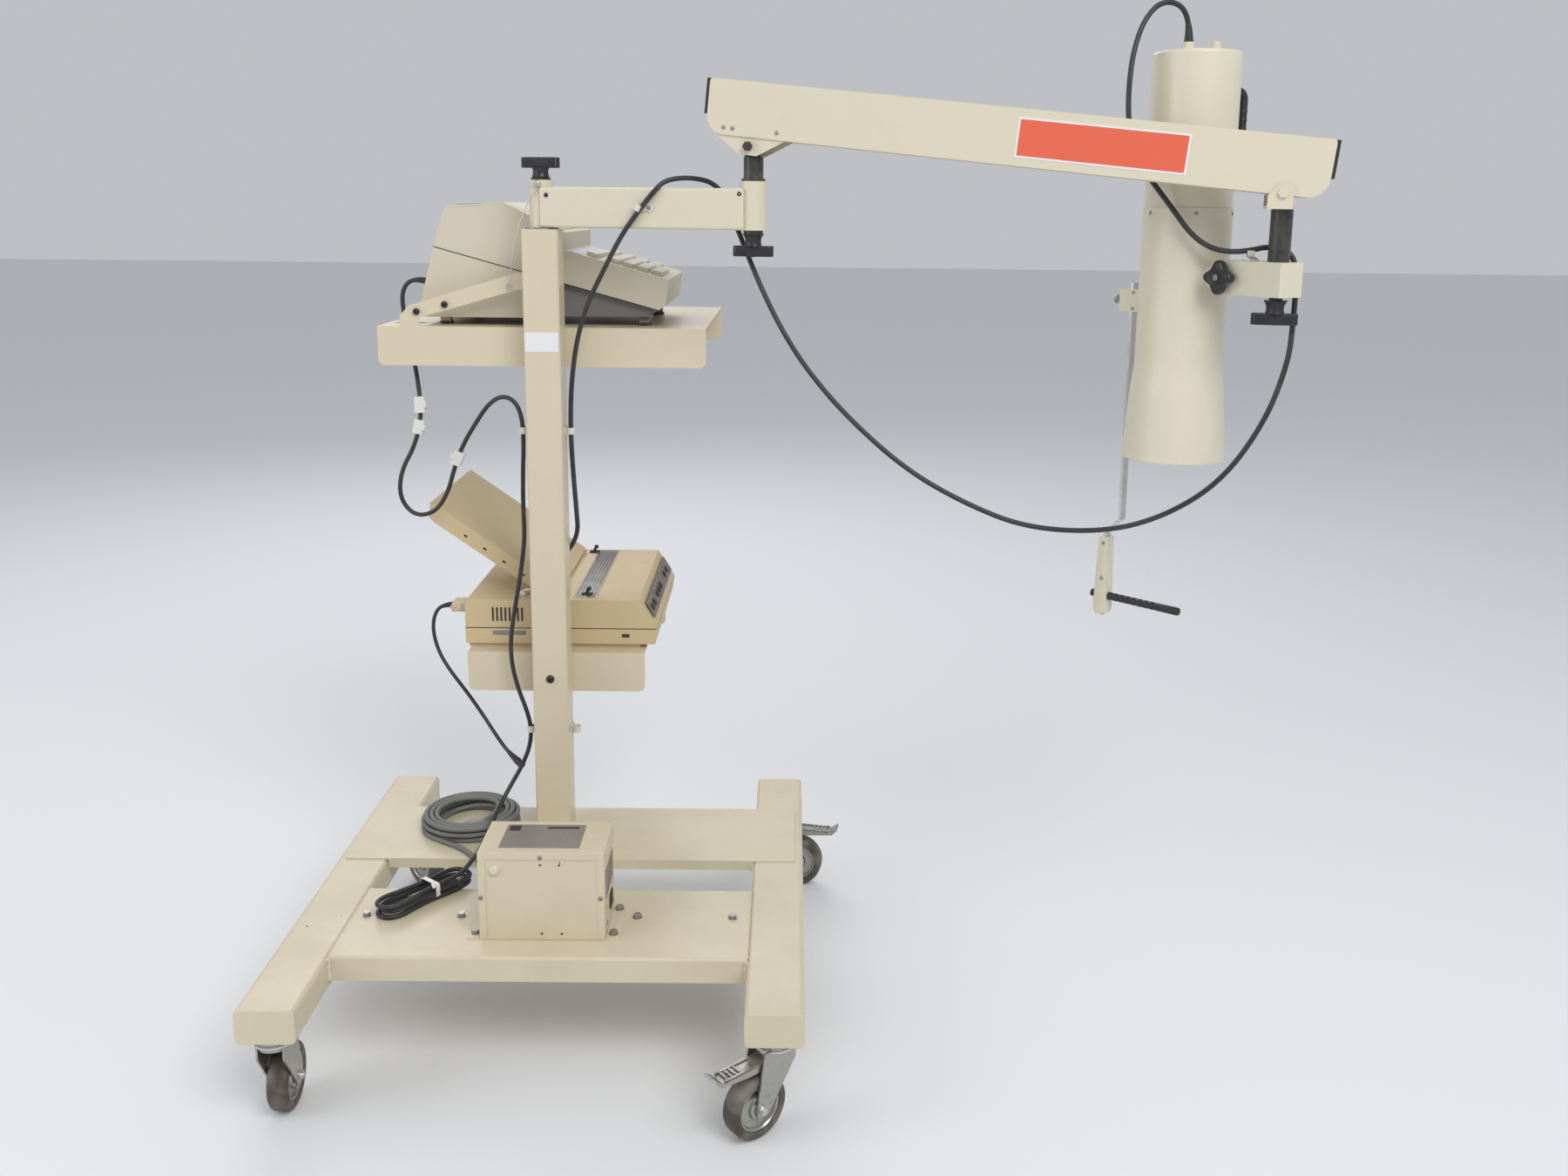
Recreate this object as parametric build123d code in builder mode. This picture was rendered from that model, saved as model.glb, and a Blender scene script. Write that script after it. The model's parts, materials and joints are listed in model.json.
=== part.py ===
from build123d import *
from math import cos, pi, radians, sin, tan
import os

os.makedirs("parts", exist_ok=True)

# Mobile uptake-counting system: a four-wheeled cart with a column and two shelves, and a swing arm
# and counterbalanced lift arm that carry a collimated detector probe.
# Frame: Z = 0 is the floor, the Z axis is the column's axis, +X is the side that the probe reaches to,
# -Y is the front. Millimetres and degrees.

# ---- driving dimensions -------------------------------------------------------------------------
# running fits and gaps
running_fit = 0.05        # radial clearance of a pin in its bore
moving_gap = 0.4          # clearance between faces that move past each other

# base frame
rail_length = 852
rail_width = 88.9         # 3 1/2 in tube
rail_height = 55
rail_wall = 3
rail_corner = 8
rail_front_y = -616
left_rail_x = -323.5
right_rail_x = 418.5
rail_bottom = 149         # floor to the underside of the rails
deck_sheet = 3
deck_front_y = -465
deck_depth = 225
deck_skirt = 41
cross_tube_width = 63.5
cross_tube_height = 50
plate_thickness = 3
plate_left_x = -355
plate_right_x = 448
plate_front_y = -137
plate_rear_y = 82
plate_lip = 15

# casters
wheel_diameter = 100
wheel_width = 32
hub_diameter = 72
hub_width = 24
caster_inset = 38         # rail end to the swivel axis
caster_trail = 38
caster_plate_d = 58
caster_plate_t = 9
crown_d = 54
fork_crown_t = 11
fork_leg_t = 3
axle_d = 8
stem_d = 12
kingpin_d = 16
pedal_length = 98
pedal_width = 30
pedal_sheet = 5
caster_turns = {"front_left": 92, "front_right": 220, "rear_left": -45, "rear_right": -10}

# column and shelves
column_width = 63.5       # 2 1/2 in tube
column_wall = 3.2
column_corner = 6
column_top = 1314
washer_t = 3
shelf_sheet = 2.5
shelf_corner = 12
cord_hole = (-262, 106)
cord_hole_d = 32
upper_shelf_left_x = -303
upper_shelf_width = 584
upper_shelf_depth = 560
upper_shelf_top = 1141
upper_shelf_lip = 70
lower_shelf_left_x = -163
lower_shelf_width = 329
lower_shelf_depth = 430
lower_shelf_top = 538
lower_shelf_lip = 75
clip_cord_x = 42          # column axis to a clipped cord's axis
clip_levels = (401, 961)

# swing arm (all arm pieces are placed in the arm's own turned frame)
arm_turn = -14            # the arm points this many degrees round from +X
arm_reach = 379.5         # column axis to elbow axis
arm_width = 50
arm_height = 68
arm_wall = 3
arm_corner = 5
collar_d = 42
collar_height = 80
shoulder_shaft_d = 30
shoulder_shaft_depth = 60
post_d = 33               # elbow post and end post
knob_bar = 70
knob_bar_h = 18
knob_neck_d = 34
knob_neck_h = 20
knob_stud_d = 10

# lift arm
arm_droop = -5.8          # slope of the lift arm's cover at rest
elbow_pivot_z = 1452
end_pivot_reach = 1212.4  # column axis to the end pivot, along the arm
end_pivot_z = 1385.2
link_rise = 45            # lift pivots to link pivots
cover_length = 974
cover_height = 87.5
cover_width = 64
cover_sheet = 2.5
cover_corner = 30
cover_top_corner = 6
cover_back = 75           # cover's far end to the elbow pivot, along the cover
cover_rise = 14.5         # elbow pivot to the cover's lower edge, square to the cover
cheek_t = 4
cheek_round = 14
cap_t = 5
pivot_d = 12
link_pin_d = 10
link_width = 16
link_t = 5
tongue_t = 16
ear_t = 4
end_post_top = 1366
end_post_shoulder = 1281.5

# yoke and probe
yoke_turn = 122           # direction from the end post to the probe, about +Z from +X
yoke_reach = 188          # end post axis to probe axis
yoke_back = 28
yoke_front = 96
yoke_width = 51
yoke_bottom = 1228
yoke_top = 1281
spindle_d = 20
trunnion_d = 25
trunnion_depth = 50
lobed_knob_d = 54
lobed_knob_t = 20
lobed_knob_out = 80       # end post axis to the clamp knob's axis, along the yoke
probe_mouth_z = 949
probe_seam_z = 1362
probe_top_z = 1606
probe_r = 71.5
cap_r = 70
mouth_r = 85
flare_z = 1120
flare_mid_z = 1050
flare_mid_r = 78
probe_wall = 4
shield_height = 60
aperture_r = 45
crystal_t = 20
can_d = 64
can_wall = 3
can_height = 180
gauge_turn = 135          # side of the probe that carries the distance gauge
gauge_out = 91            # probe axis to the gauge strip
gauge_strip_w = 16
gauge_strip_t = 4.5
gauge_top = 1236
gauge_knee = 825
gauge_knee_out = 27
gauge_grip_top = 790
gauge_grip_bottom = 649
gauge_rod_d = 14
gauge_rod_length = 175
gauge_rod_z = 682
gauge_clamp_z = 1188
gauge_clamp_h = 38
gauge_clamp_w = 30
handle_turn = 25
handle_d = 14
handle_span = 120
handle_out = 32
handle_z = 1430

# console, printer, transformer box
console_near_y = 70
console_width = 330
console_left_x = -207
console_seam_left_z = 1280
console_seam_slope = -15.3
console_nose_x = 200
console_foot_h = 14
console_wall = 3
key_size = (22, 24)
key_height = 8
key_travel = 3
key_y = 108
key_pitch = 25.5
key_first_x = 72
key_gap = 13              # extra space after the first key
printer_near_y = 60
printer_width = 393
printer_left_x = -172
printer_right_x = 187
printer_foot_h = 14
printer_seam_h = 24
printer_height = 93
printer_wall = 3
data_plug_y = 120
data_plug_z = 603
data_plug_length = 34
tray_width = 330
tray_near_y = 100
tray_slope = 145
tray_length = 292
tray_flange = 25
tray_flange_start = 34      # hinge line to the flanges' near end
tray_sheet = 2.5
tray_hinge_x = 0
tray_hinge_z = 637
box_left_x = -54
box_width = 200
box_front_y = -411
box_depth = 114
box_height = 150
box_sheet = 1.5
box_flange = 22
bolt_d = 8

# cords
lead_d = 8.5              # probe lead
mains_d = 8
data_d = 7
coil_cable_d = 9
coil_at = (-160, 5)
coil_outer_r = 99
coil_inner_r = 52
coil_height = 36
hank_at = (-176, -278)
hank_length = 190
hank_width = 54
hank_height = 30

# ---- derived places -----------------------------------------------------------------------------
rail_top = rail_bottom + rail_height
rail_rear_y = rail_front_y + rail_length
inner_left_x = left_rail_x + rail_width / 2
inner_right_x = right_rail_x - rail_width / 2
plate_top = rail_top + plate_thickness
arm_bottom = column_top + washer_t
arm_mid_z = arm_bottom + arm_height / 2
arm_top_z = arm_bottom + arm_height
collar_top = arm_bottom + collar_height
wheel_r = wheel_diameter / 2
link_pivot_z = elbow_pivot_z + link_rise
end_link_z = end_pivot_z + link_rise
stem_ys = {"front": rail_front_y + caster_inset, "rear": rail_rear_y - caster_inset}
stem_xs = {"left": left_rail_x, "right": right_rail_x}
stems = {f"{end}_{side}": (x, y) for end, y in stem_ys.items() for side, x in stem_xs.items()}

# The arm's frame: local x along the arm, local y behind it, local z up.
arm_plane = Plane.XY.rotated((0, 0, arm_turn))
arm_side = Plane(origin=(0, 0, 0), x_dir=arm_plane.x_dir, z_dir=-arm_plane.y_dir)
end_post_at = arm_plane.from_local_coords(Vector(end_pivot_reach + 3.6, 0, 0))
end_reach = end_pivot_reach + 3.6

# The yoke's frame: local x from the end post to the probe.
yoke_dir = Vector(cos(radians(yoke_turn)), sin(radians(yoke_turn)), 0)
yoke_plane = Plane(origin=end_post_at, x_dir=yoke_dir, z_dir=(0, 0, 1))
probe_at = end_post_at + yoke_dir * yoke_reach
probe_plane = Plane(origin=probe_at, x_dir=yoke_dir, z_dir=(0, 0, 1))
gauge_dir = Vector(cos(radians(gauge_turn)), sin(radians(gauge_turn)), 0)
gauge_plane = Plane(origin=probe_at, x_dir=gauge_dir, z_dir=(0, 0, 1))
gauge_side = Plane(origin=probe_at, x_dir=gauge_dir, z_dir=gauge_plane.x_dir.cross(Vector(0, 0, 1)))
handle_dir = Vector(cos(radians(handle_turn)), sin(radians(handle_turn)), 0)


def bend_radii(points):
    """Radius of each bend of a cord: 0.45 of its shorter run over the tangent of half the turn."""
    points = [Vector(*p) for p in points]
    radii = []
    for before, at, after in zip(points, points[1:], points[2:]):
        turn = radians((at - before).get_angle(after - at))
        radii.append(0.45 * min((at - before).length, (after - at).length) / tan(turn / 2))
    return radii


# ---- base frame ---------------------------------------------------------------------------------
for side, rail_x in stem_xs.items():
    with BuildPart() as rail:
        with BuildSketch(Plane.XZ.offset(-rail_front_y)):
            with Locations((rail_x, rail_bottom + rail_height / 2)):
                RectangleRounded(rail_width, rail_height, rail_corner)
        extrude(amount=-rail_length)
        fillet(rail.faces().sort_by(Axis.Y)[0].edges() + rail.faces().sort_by(Axis.Y)[-1].edges(), 2)
        with BuildSketch(Plane.XZ.offset(-rail_front_y - rail_wall)):
            with Locations((rail_x, rail_bottom + rail_height / 2)):
                RectangleRounded(rail_width - 2 * rail_wall, rail_height - 2 * rail_wall,
                                 rail_corner - rail_wall)
        extrude(amount=-(rail_length - 2 * rail_wall), mode=Mode.SUBTRACT)
        with BuildSketch(Plane.XY.offset(rail_bottom)):
            with Locations(*[(rail_x, y) for y in stem_ys.values()]):
                Circle(stem_d / 2)
        extrude(amount=rail_wall, mode=Mode.SUBTRACT)
    rail.part.label = f"{side}_rail"
    export_step(rail.part, f"parts/{side}_rail.step")

deck_plane = Plane.XY.offset(rail_top)
deck_mid_x = (inner_left_x + inner_right_x) / 2
deck_width = inner_right_x - inner_left_x
deck_mid_y = deck_front_y + deck_depth / 2
with BuildPart() as front_deck:
    with BuildSketch(deck_plane):
        with Locations((deck_mid_x, deck_mid_y)):
            Rectangle(deck_width, deck_depth)
    extrude(amount=-deck_skirt)
    fillet(front_deck.faces().sort_by(Axis.Z)[-1].edges().filter_by(Axis.X), 5)
    with BuildSketch(deck_plane.offset(-deck_sheet)):
        with Locations((deck_mid_x, deck_mid_y)):
            Rectangle(deck_width - 2 * deck_sheet, deck_depth - 2 * deck_sheet)
    extrude(amount=-deck_skirt, mode=Mode.SUBTRACT)
front_deck.part.label = "front_deck"
export_step(front_deck.part, "parts/front_deck.step")

with BuildPart() as rear_cross_tube:
    with BuildSketch(Plane.YZ.offset(inner_left_x)):
        with Locations((0, rail_top - cross_tube_height / 2)):
            RectangleRounded(cross_tube_width, cross_tube_height, 5)
            RectangleRounded(cross_tube_width - 2 * rail_wall, cross_tube_height - 2 * rail_wall, 2,
                             mode=Mode.SUBTRACT)
    extrude(amount=deck_width)
rear_cross_tube.part.label = "rear_cross_tube"
export_step(rear_cross_tube.part, "parts/rear_cross_tube.step")

plate_mid = ((plate_left_x + plate_right_x) / 2, (plate_front_y + plate_rear_y) / 2)
with BuildPart() as rear_plate:
    with BuildSketch(deck_plane):
        with Locations(plate_mid):
            RectangleRounded(plate_right_x - plate_left_x, plate_rear_y - plate_front_y, 6)
    extrude(amount=plate_thickness)
    with BuildSketch(deck_plane):
        with Locations((deck_mid_x, plate_front_y + plate_thickness / 2)):
            Rectangle(deck_width - 4, plate_thickness)
    extrude(amount=-plate_lip)
rear_plate.part.label = "rear_plate"
export_step(rear_plate.part, "parts/rear_plate.step")

with BuildPart() as column:
    with BuildSketch(Plane.XY.offset(plate_top)):
        RectangleRounded(column_width, column_width, column_corner)
        RectangleRounded(column_width - 2 * column_wall, column_width - 2 * column_wall,
                         column_corner - column_wall, mode=Mode.SUBTRACT)
    extrude(amount=column_top - plate_top)
column.part.label = "column"
export_step(column.part, "parts/column.step")

# A plug in the column's top carries the shoulder shaft, and a washer lies between column and arm.
with BuildPart() as shoulder_bearing:
    with BuildSketch(Plane.XY.offset(column_top)):
        RectangleRounded(column_width - 2 * column_wall, column_width - 2 * column_wall,
                         column_corner - column_wall)
        Circle(shoulder_shaft_d / 2 + running_fit, mode=Mode.SUBTRACT)
    extrude(amount=-shoulder_shaft_depth)
    with BuildSketch(Plane.XY.offset(column_top)):
        Circle(column_width / 2 - 3)
        Circle(shoulder_shaft_d / 2 + running_fit, mode=Mode.SUBTRACT)
    extrude(amount=washer_t)
shoulder_bearing.part.label = "shoulder_bearing"
export_step(shoulder_bearing.part, "parts/shoulder_bearing.step")

# Hexagon bolts of the deck, the box's flange and the column's foot.
deck_bolts = [(x, -336) for x in (-256, -100.5, 189, 346)]
box_bolts = [(box_left_x - box_flange / 2, box_front_y + 18),
             (box_left_x + box_width + box_flange / 2, box_front_y + 18),
             (box_left_x + box_width + box_flange / 2, box_front_y + box_depth - 15)]
foot_bolts = [(x, 0) for x in (-column_width / 2 - 14, column_width / 2 + 14)]
with BuildPart() as frame_bolts:
    for places, seat in ((deck_bolts, rail_top), (box_bolts, rail_top + box_sheet), (foot_bolts, plate_top)):
        with BuildSketch(Plane.XY.offset(seat)):
            with Locations(*places):
                Circle(bolt_d)
        extrude(amount=1.5)
        with BuildSketch(Plane.XY.offset(seat + 1.5)):
            with Locations(*places):
                RegularPolygon(bolt_d * 0.8, 6)
        extrude(amount=5)
frame_bolts.part.label = "frame_bolts"
export_step(frame_bolts.part, "parts/frame_bolts.step")

# ---- shelves ------------------------------------------------------------------------------------
shelf_front_y = column_width / 2
for name, left_x, width, depth, top, lip in (
    ("upper_shelf", upper_shelf_left_x, upper_shelf_width, upper_shelf_depth, upper_shelf_top,
     upper_shelf_lip),
    ("lower_shelf", lower_shelf_left_x, lower_shelf_width, lower_shelf_depth, lower_shelf_top,
     lower_shelf_lip),
):
    mid_x = left_x + width / 2
    with BuildPart() as shelf:
        with BuildSketch(Plane.XY.offset(top - shelf_sheet)):
            with Locations((mid_x, shelf_front_y + depth / 2)):
                Rectangle(width, depth)
        extrude(amount=shelf_sheet)
        for lip_y in (shelf_front_y, shelf_front_y + depth - shelf_sheet):
            with BuildSketch(Plane.XZ.offset(-lip_y)) as lip_face:
                with Locations((mid_x, top - lip / 2)):
                    Rectangle(width, lip)
                fillet(lip_face.vertices().group_by(Axis.Y)[0], shelf_corner)
            extrude(amount=-shelf_sheet)
        with BuildSketch(Plane.XY.offset(top)):
            with Locations((mid_x - 0.15 * width, shelf_front_y + 30),
                           (mid_x + 0.18 * width, shelf_front_y + 30)):
                SlotOverall(22, 7)
            if name == "upper_shelf":
                with Locations(cord_hole):
                    SlotOverall(cord_hole_d * 2, cord_hole_d)
        extrude(amount=-shelf_sheet, mode=Mode.SUBTRACT)
    shelf.part.label = name
    export_step(shelf.part, f"parts/{name}.step")

# A strap stands on the upper shelf, slopes up to the column and holds the lock pin's chain.
strap_t = 2.5
strap_width = 26
with BuildPart() as chain_bracket:
    with BuildSketch(Plane.XZ.offset(-shelf_front_y)):
        with BuildLine():
            Polyline((-262, upper_shelf_top), (-228, upper_shelf_top), (-228, 1156), (-49, 1208),
                     (0, 1208), (0, 1237), (-52, 1237), (-244, 1178), (-262, 1160), close=True)
        make_face()
        with Locations((-64, 1212.5)):
            Circle(2.5, mode=Mode.SUBTRACT)
    extrude(amount=-strap_t)
chain_bracket.part.label = "chain_bracket"
export_step(chain_bracket.part, "parts/chain_bracket.step")

# P-clips screwed to the column's sides hold the cords.
clip_bore = 12
clip_wall = 1.5
clip_foot = 3.5
clip_width = 12
with BuildPart() as cable_clips:
    for level in clip_levels:
        with BuildSketch(Plane.XY.offset(level - clip_width / 2)):
            for way in (-1, 1):
                with Locations((way * clip_cord_x, 0)):
                    Circle(clip_bore / 2 + clip_wall)
                with Locations((way * (column_width + clip_foot) / 2, 9)):
                    Rectangle(clip_foot, 22)
                with Locations((way * clip_cord_x, 0)):
                    Circle(clip_bore / 2, mode=Mode.SUBTRACT)
        extrude(amount=clip_width)
cable_clips.part.label = "cable_clips"
export_step(cable_clips.part, "parts/cable_clips.step")

# ---- casters ------------------------------------------------------------------------------------
# Swivel plates are bolted up into the rails; each fork turns on its plate's kingpin.
plate_bottom = rail_bottom - caster_plate_t
with BuildPart() as caster_tops:
    for x, y in stems.values():
        with BuildSketch(Plane.XY.offset(plate_bottom)):
            with Locations((x, y)):
                Circle(caster_plate_d / 2)
        extrude(amount=caster_plate_t)
        with BuildSketch(Plane.XY.offset(rail_bottom)):
            with Locations((x, y)):
                Circle(stem_d / 2)
        extrude(amount=12)
        with BuildSketch(Plane.XY.offset(plate_bottom)):
            with Locations((x, y)):
                Circle(kingpin_d / 2)
        extrude(amount=-fork_crown_t - moving_gap)
caster_tops.part.label = "caster_tops"
export_step(caster_tops.part, "parts/caster_tops.step")

crown_top = plate_bottom - moving_gap
crown_bottom = crown_top - fork_crown_t
leg_inside = wheel_width / 2 + 2
hub_end = leg_inside - moving_gap
pedal_pivot_x = caster_trail - 16
pedal_pivot_z = wheel_diameter + 16
for name, (x, y) in stems.items():
    turn = radians(caster_turns[name])
    ground = Plane(origin=(x, y, 0), x_dir=(cos(turn), sin(turn), 0), z_dir=(0, 0, 1))
    side = Plane(origin=(x, y, 0), x_dir=(cos(turn), sin(turn), 0), z_dir=(sin(turn), -cos(turn), 0))

    with BuildPart() as fork:
        with BuildSketch(ground.offset(crown_bottom)):
            Circle(crown_d / 2)
            Rectangle(crown_d / 2, 2 * (leg_inside + fork_leg_t))
            Circle(kingpin_d / 2 + running_fit, mode=Mode.SUBTRACT)
        extrude(amount=fork_crown_t)
        for start in (leg_inside, -leg_inside - fork_leg_t):
            with BuildSketch(side.offset(start)):
                with BuildLine():
                    Polyline((-24, crown_top), (34, crown_top), (caster_trail + 10, wheel_r + 8),
                             (caster_trail + 10, wheel_r - 10), (caster_trail - 10, wheel_r - 10),
                             (-24, crown_bottom - 14), close=True)
                make_face()
            extrude(amount=fork_leg_t)
        with BuildSketch(side.offset(-leg_inside - fork_leg_t - 4)):
            with Locations((caster_trail, wheel_r)):
                Circle(axle_d / 2)
        extrude(amount=2 * (leg_inside + fork_leg_t + 4))
    fork.part.label = f"{name}_fork"
    export_step(fork.part, f"parts/{name}_fork.step")

    with BuildPart() as wheel:
        with BuildSketch(side.offset(-hub_width / 2)):
            with Locations((caster_trail, wheel_r)):
                Circle(hub_diameter / 2)
        extrude(amount=hub_width)
        with BuildSketch(side.offset(-hub_end)):
            with Locations((caster_trail, wheel_r)):
                Circle(11)
        extrude(amount=2 * hub_end)
        with BuildSketch(side.offset(-hub_end)):
            with Locations((caster_trail, wheel_r)):
                Circle(axle_d / 2 + running_fit)
        extrude(amount=2 * hub_end, mode=Mode.SUBTRACT)
    with BuildPart() as tyre:
        with BuildSketch(side.offset(-wheel_width / 2)):
            with Locations((caster_trail, wheel_r)):
                Circle(wheel_r)
                Circle(hub_diameter / 2, mode=Mode.SUBTRACT)
        extrude(amount=wheel_width)
        fillet(tyre.edges().filter_by(GeomType.CIRCLE).group_by(SortBy.RADIUS)[-1], 6)
    rolling = Compound(label=f"{name}_wheel", children=[wheel.part, tyre.part])
    export_step(rolling, f"parts/{name}_wheel.step")

    with BuildPart() as pedal:
        with BuildSketch(side.offset(-pedal_width / 2)):
            with BuildLine():
                Polyline((pedal_pivot_x - 6, pedal_pivot_z - 6), (pedal_pivot_x + 40, pedal_pivot_z - 6),
                         (pedal_pivot_x + pedal_length - 10, pedal_pivot_z - 2),
                         (pedal_pivot_x + pedal_length, pedal_pivot_z + 8),
                         (pedal_pivot_x + pedal_length - 3, pedal_pivot_z + 11),
                         (pedal_pivot_x + pedal_length - 14, pedal_pivot_z + 3),
                         (pedal_pivot_x + 24, pedal_pivot_z + 4), (pedal_pivot_x + 6, pedal_pivot_z + 7),
                         (pedal_pivot_x - 6, pedal_pivot_z + 4), close=True)
            make_face()
        extrude(amount=pedal_width)
        with BuildSketch(side.offset(-leg_inside + moving_gap)):
            with Locations((pedal_pivot_x, pedal_pivot_z)):
                Circle(3)
        extrude(amount=2 * (leg_inside - moving_gap))
    pedal.part.label = f"{name}_pedal"
    export_step(pedal.part, f"parts/{name}_pedal.step")

# ---- swing arm ----------------------------------------------------------------------------------
tube_start = 8
tube_length = arm_reach - collar_d / 4 - tube_start
with BuildPart() as swing_arm:
    with BuildSketch(Plane(origin=arm_plane.from_local_coords(Vector(tube_start, 0, arm_mid_z)),
                           x_dir=arm_plane.y_dir, z_dir=arm_plane.x_dir)):
        RectangleRounded(arm_width, arm_height, arm_corner)
    extrude(amount=tube_length)
    with BuildSketch(Plane(origin=arm_plane.from_local_coords(Vector(tube_start + arm_wall, 0, arm_mid_z)),
                           x_dir=arm_plane.y_dir, z_dir=arm_plane.x_dir)):
        RectangleRounded(arm_width - 2 * arm_wall, arm_height - 2 * arm_wall, arm_corner - arm_wall)
    extrude(amount=tube_length - 2 * arm_wall, mode=Mode.SUBTRACT)
    with BuildSketch(arm_plane.offset(arm_bottom)):
        Circle(collar_d / 2)
        with Locations((arm_reach, 0)):
            Circle(collar_d / 2 + 1)
    extrude(amount=collar_height)
    with BuildSketch(arm_plane.offset(arm_bottom)):
        Circle(shoulder_shaft_d / 2)
    extrude(amount=-washer_t - shoulder_shaft_depth + moving_gap)
    with BuildSketch(arm_plane.offset(arm_bottom)):
        with Locations((arm_reach, 0)):
            Circle(post_d / 2 + running_fit)
    extrude(amount=collar_height, mode=Mode.SUBTRACT)
    with BuildSketch(arm_plane.offset(collar_top)):
        Circle(knob_stud_d / 2 + running_fit)
    extrude(amount=-30, mode=Mode.SUBTRACT)
    with BuildSketch(arm_plane.offset(arm_bottom)):
        with Locations((60, 0)):
            Circle(4)
    extrude(amount=arm_wall, mode=Mode.SUBTRACT)
swing_arm.part.label = "swing_arm"
export_step(swing_arm.part, "parts/swing_arm.step")


# T-handled clamp knobs: a round neck under a cross bar, with a threaded stud.
def knob_levels(face, way):
    """Heights of a T-knob's neck and bar, standing on a face, with way +1 up or -1 down."""
    neck_end = face + way * knob_neck_h
    return neck_end, neck_end + way * knob_bar_h


for name, reach, face, way, stud in (
    ("shoulder_knob", 0, collar_top + moving_gap, 1, 26),
    ("elbow_knob", arm_reach, arm_bottom - moving_gap - 5, -1, 24),
    ("swivel_knob", end_reach, yoke_bottom - moving_gap - 5, -1, 24),
):
    neck_end, bar_end = knob_levels(face, way)
    with BuildPart() as knob:
        with BuildSketch(arm_plane.offset(face)):
            with Locations((reach, 0)):
                Circle(knob_neck_d / 2)
        extrude(amount=way * knob_neck_h)
        with BuildSketch(arm_plane.offset(neck_end)):
            with Locations((reach, 0)):
                SlotOverall(knob_bar, knob_bar_h)
        extrude(amount=way * knob_bar_h)
        fillet(knob.edges().group_by(Axis.Z)[-1 if way > 0 else 0], 3)
        with BuildSketch(arm_plane.offset(face)):
            with Locations((reach, 0)):
                Circle(knob_stud_d / 2)
        extrude(amount=-way * stud)
    knob.part.label = name
    export_step(knob.part, f"parts/{name}.step")

# ---- elbow post ---------------------------------------------------------------------------------
# A round post turns in the arm's collar; its tongue carries the lift pivot and the link's pivot.
post_bottom = arm_bottom - 5
post_shoulder = elbow_pivot_z - pivot_d - 4
pivot_span = cover_width / 2 + 4
with BuildPart() as elbow_post:
    with BuildSketch(arm_plane.offset(post_bottom)):
        with Locations((arm_reach, 0)):
            Circle(post_d / 2)
    extrude(amount=post_shoulder - post_bottom)
    with BuildSketch(arm_plane.offset(collar_top + moving_gap)):
        with Locations((arm_reach, 0)):
            Circle(collar_d / 2 - 1)
    extrude(amount=4)
    with BuildSketch(arm_side.offset(-tongue_t / 2)):
        with Locations((arm_reach, (post_shoulder - 4 + link_pivot_z) / 2)):
            Rectangle(26, link_pivot_z - post_shoulder + 4)
        with Locations((arm_reach, link_pivot_z)):
            Circle(13)
    extrude(amount=tongue_t)
    with BuildSketch(arm_side.offset(-pivot_span)):
        with Locations((arm_reach, elbow_pivot_z)):
            Circle(pivot_d / 2)
    extrude(amount=2 * pivot_span)
    with BuildSketch(arm_side.offset(-pivot_span - 4)):
        with Locations((arm_reach, elbow_pivot_z)):
            RegularPolygon(pivot_d * 0.7, 6)
    extrude(amount=4)
    with BuildSketch(arm_side.offset(pivot_span)):
        with Locations((arm_reach, elbow_pivot_z)):
            RegularPolygon(pivot_d * 0.7, 6)
    extrude(amount=4)
    with BuildSketch(arm_side.offset(-tongue_t / 2 - moving_gap - link_t)):
        with Locations((arm_reach, link_pivot_z)):
            Circle(link_pin_d / 2)
    extrude(amount=tongue_t + 2 * (moving_gap + link_t))
    with BuildSketch(arm_plane.offset(post_bottom)):
        with Locations((arm_reach, 0)):
            Circle(knob_stud_d / 2 + running_fit)
    extrude(amount=30, mode=Mode.SUBTRACT)
elbow_post.part.label = "elbow_post"
export_step(elbow_post.part, "parts/elbow_post.step")

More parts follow.
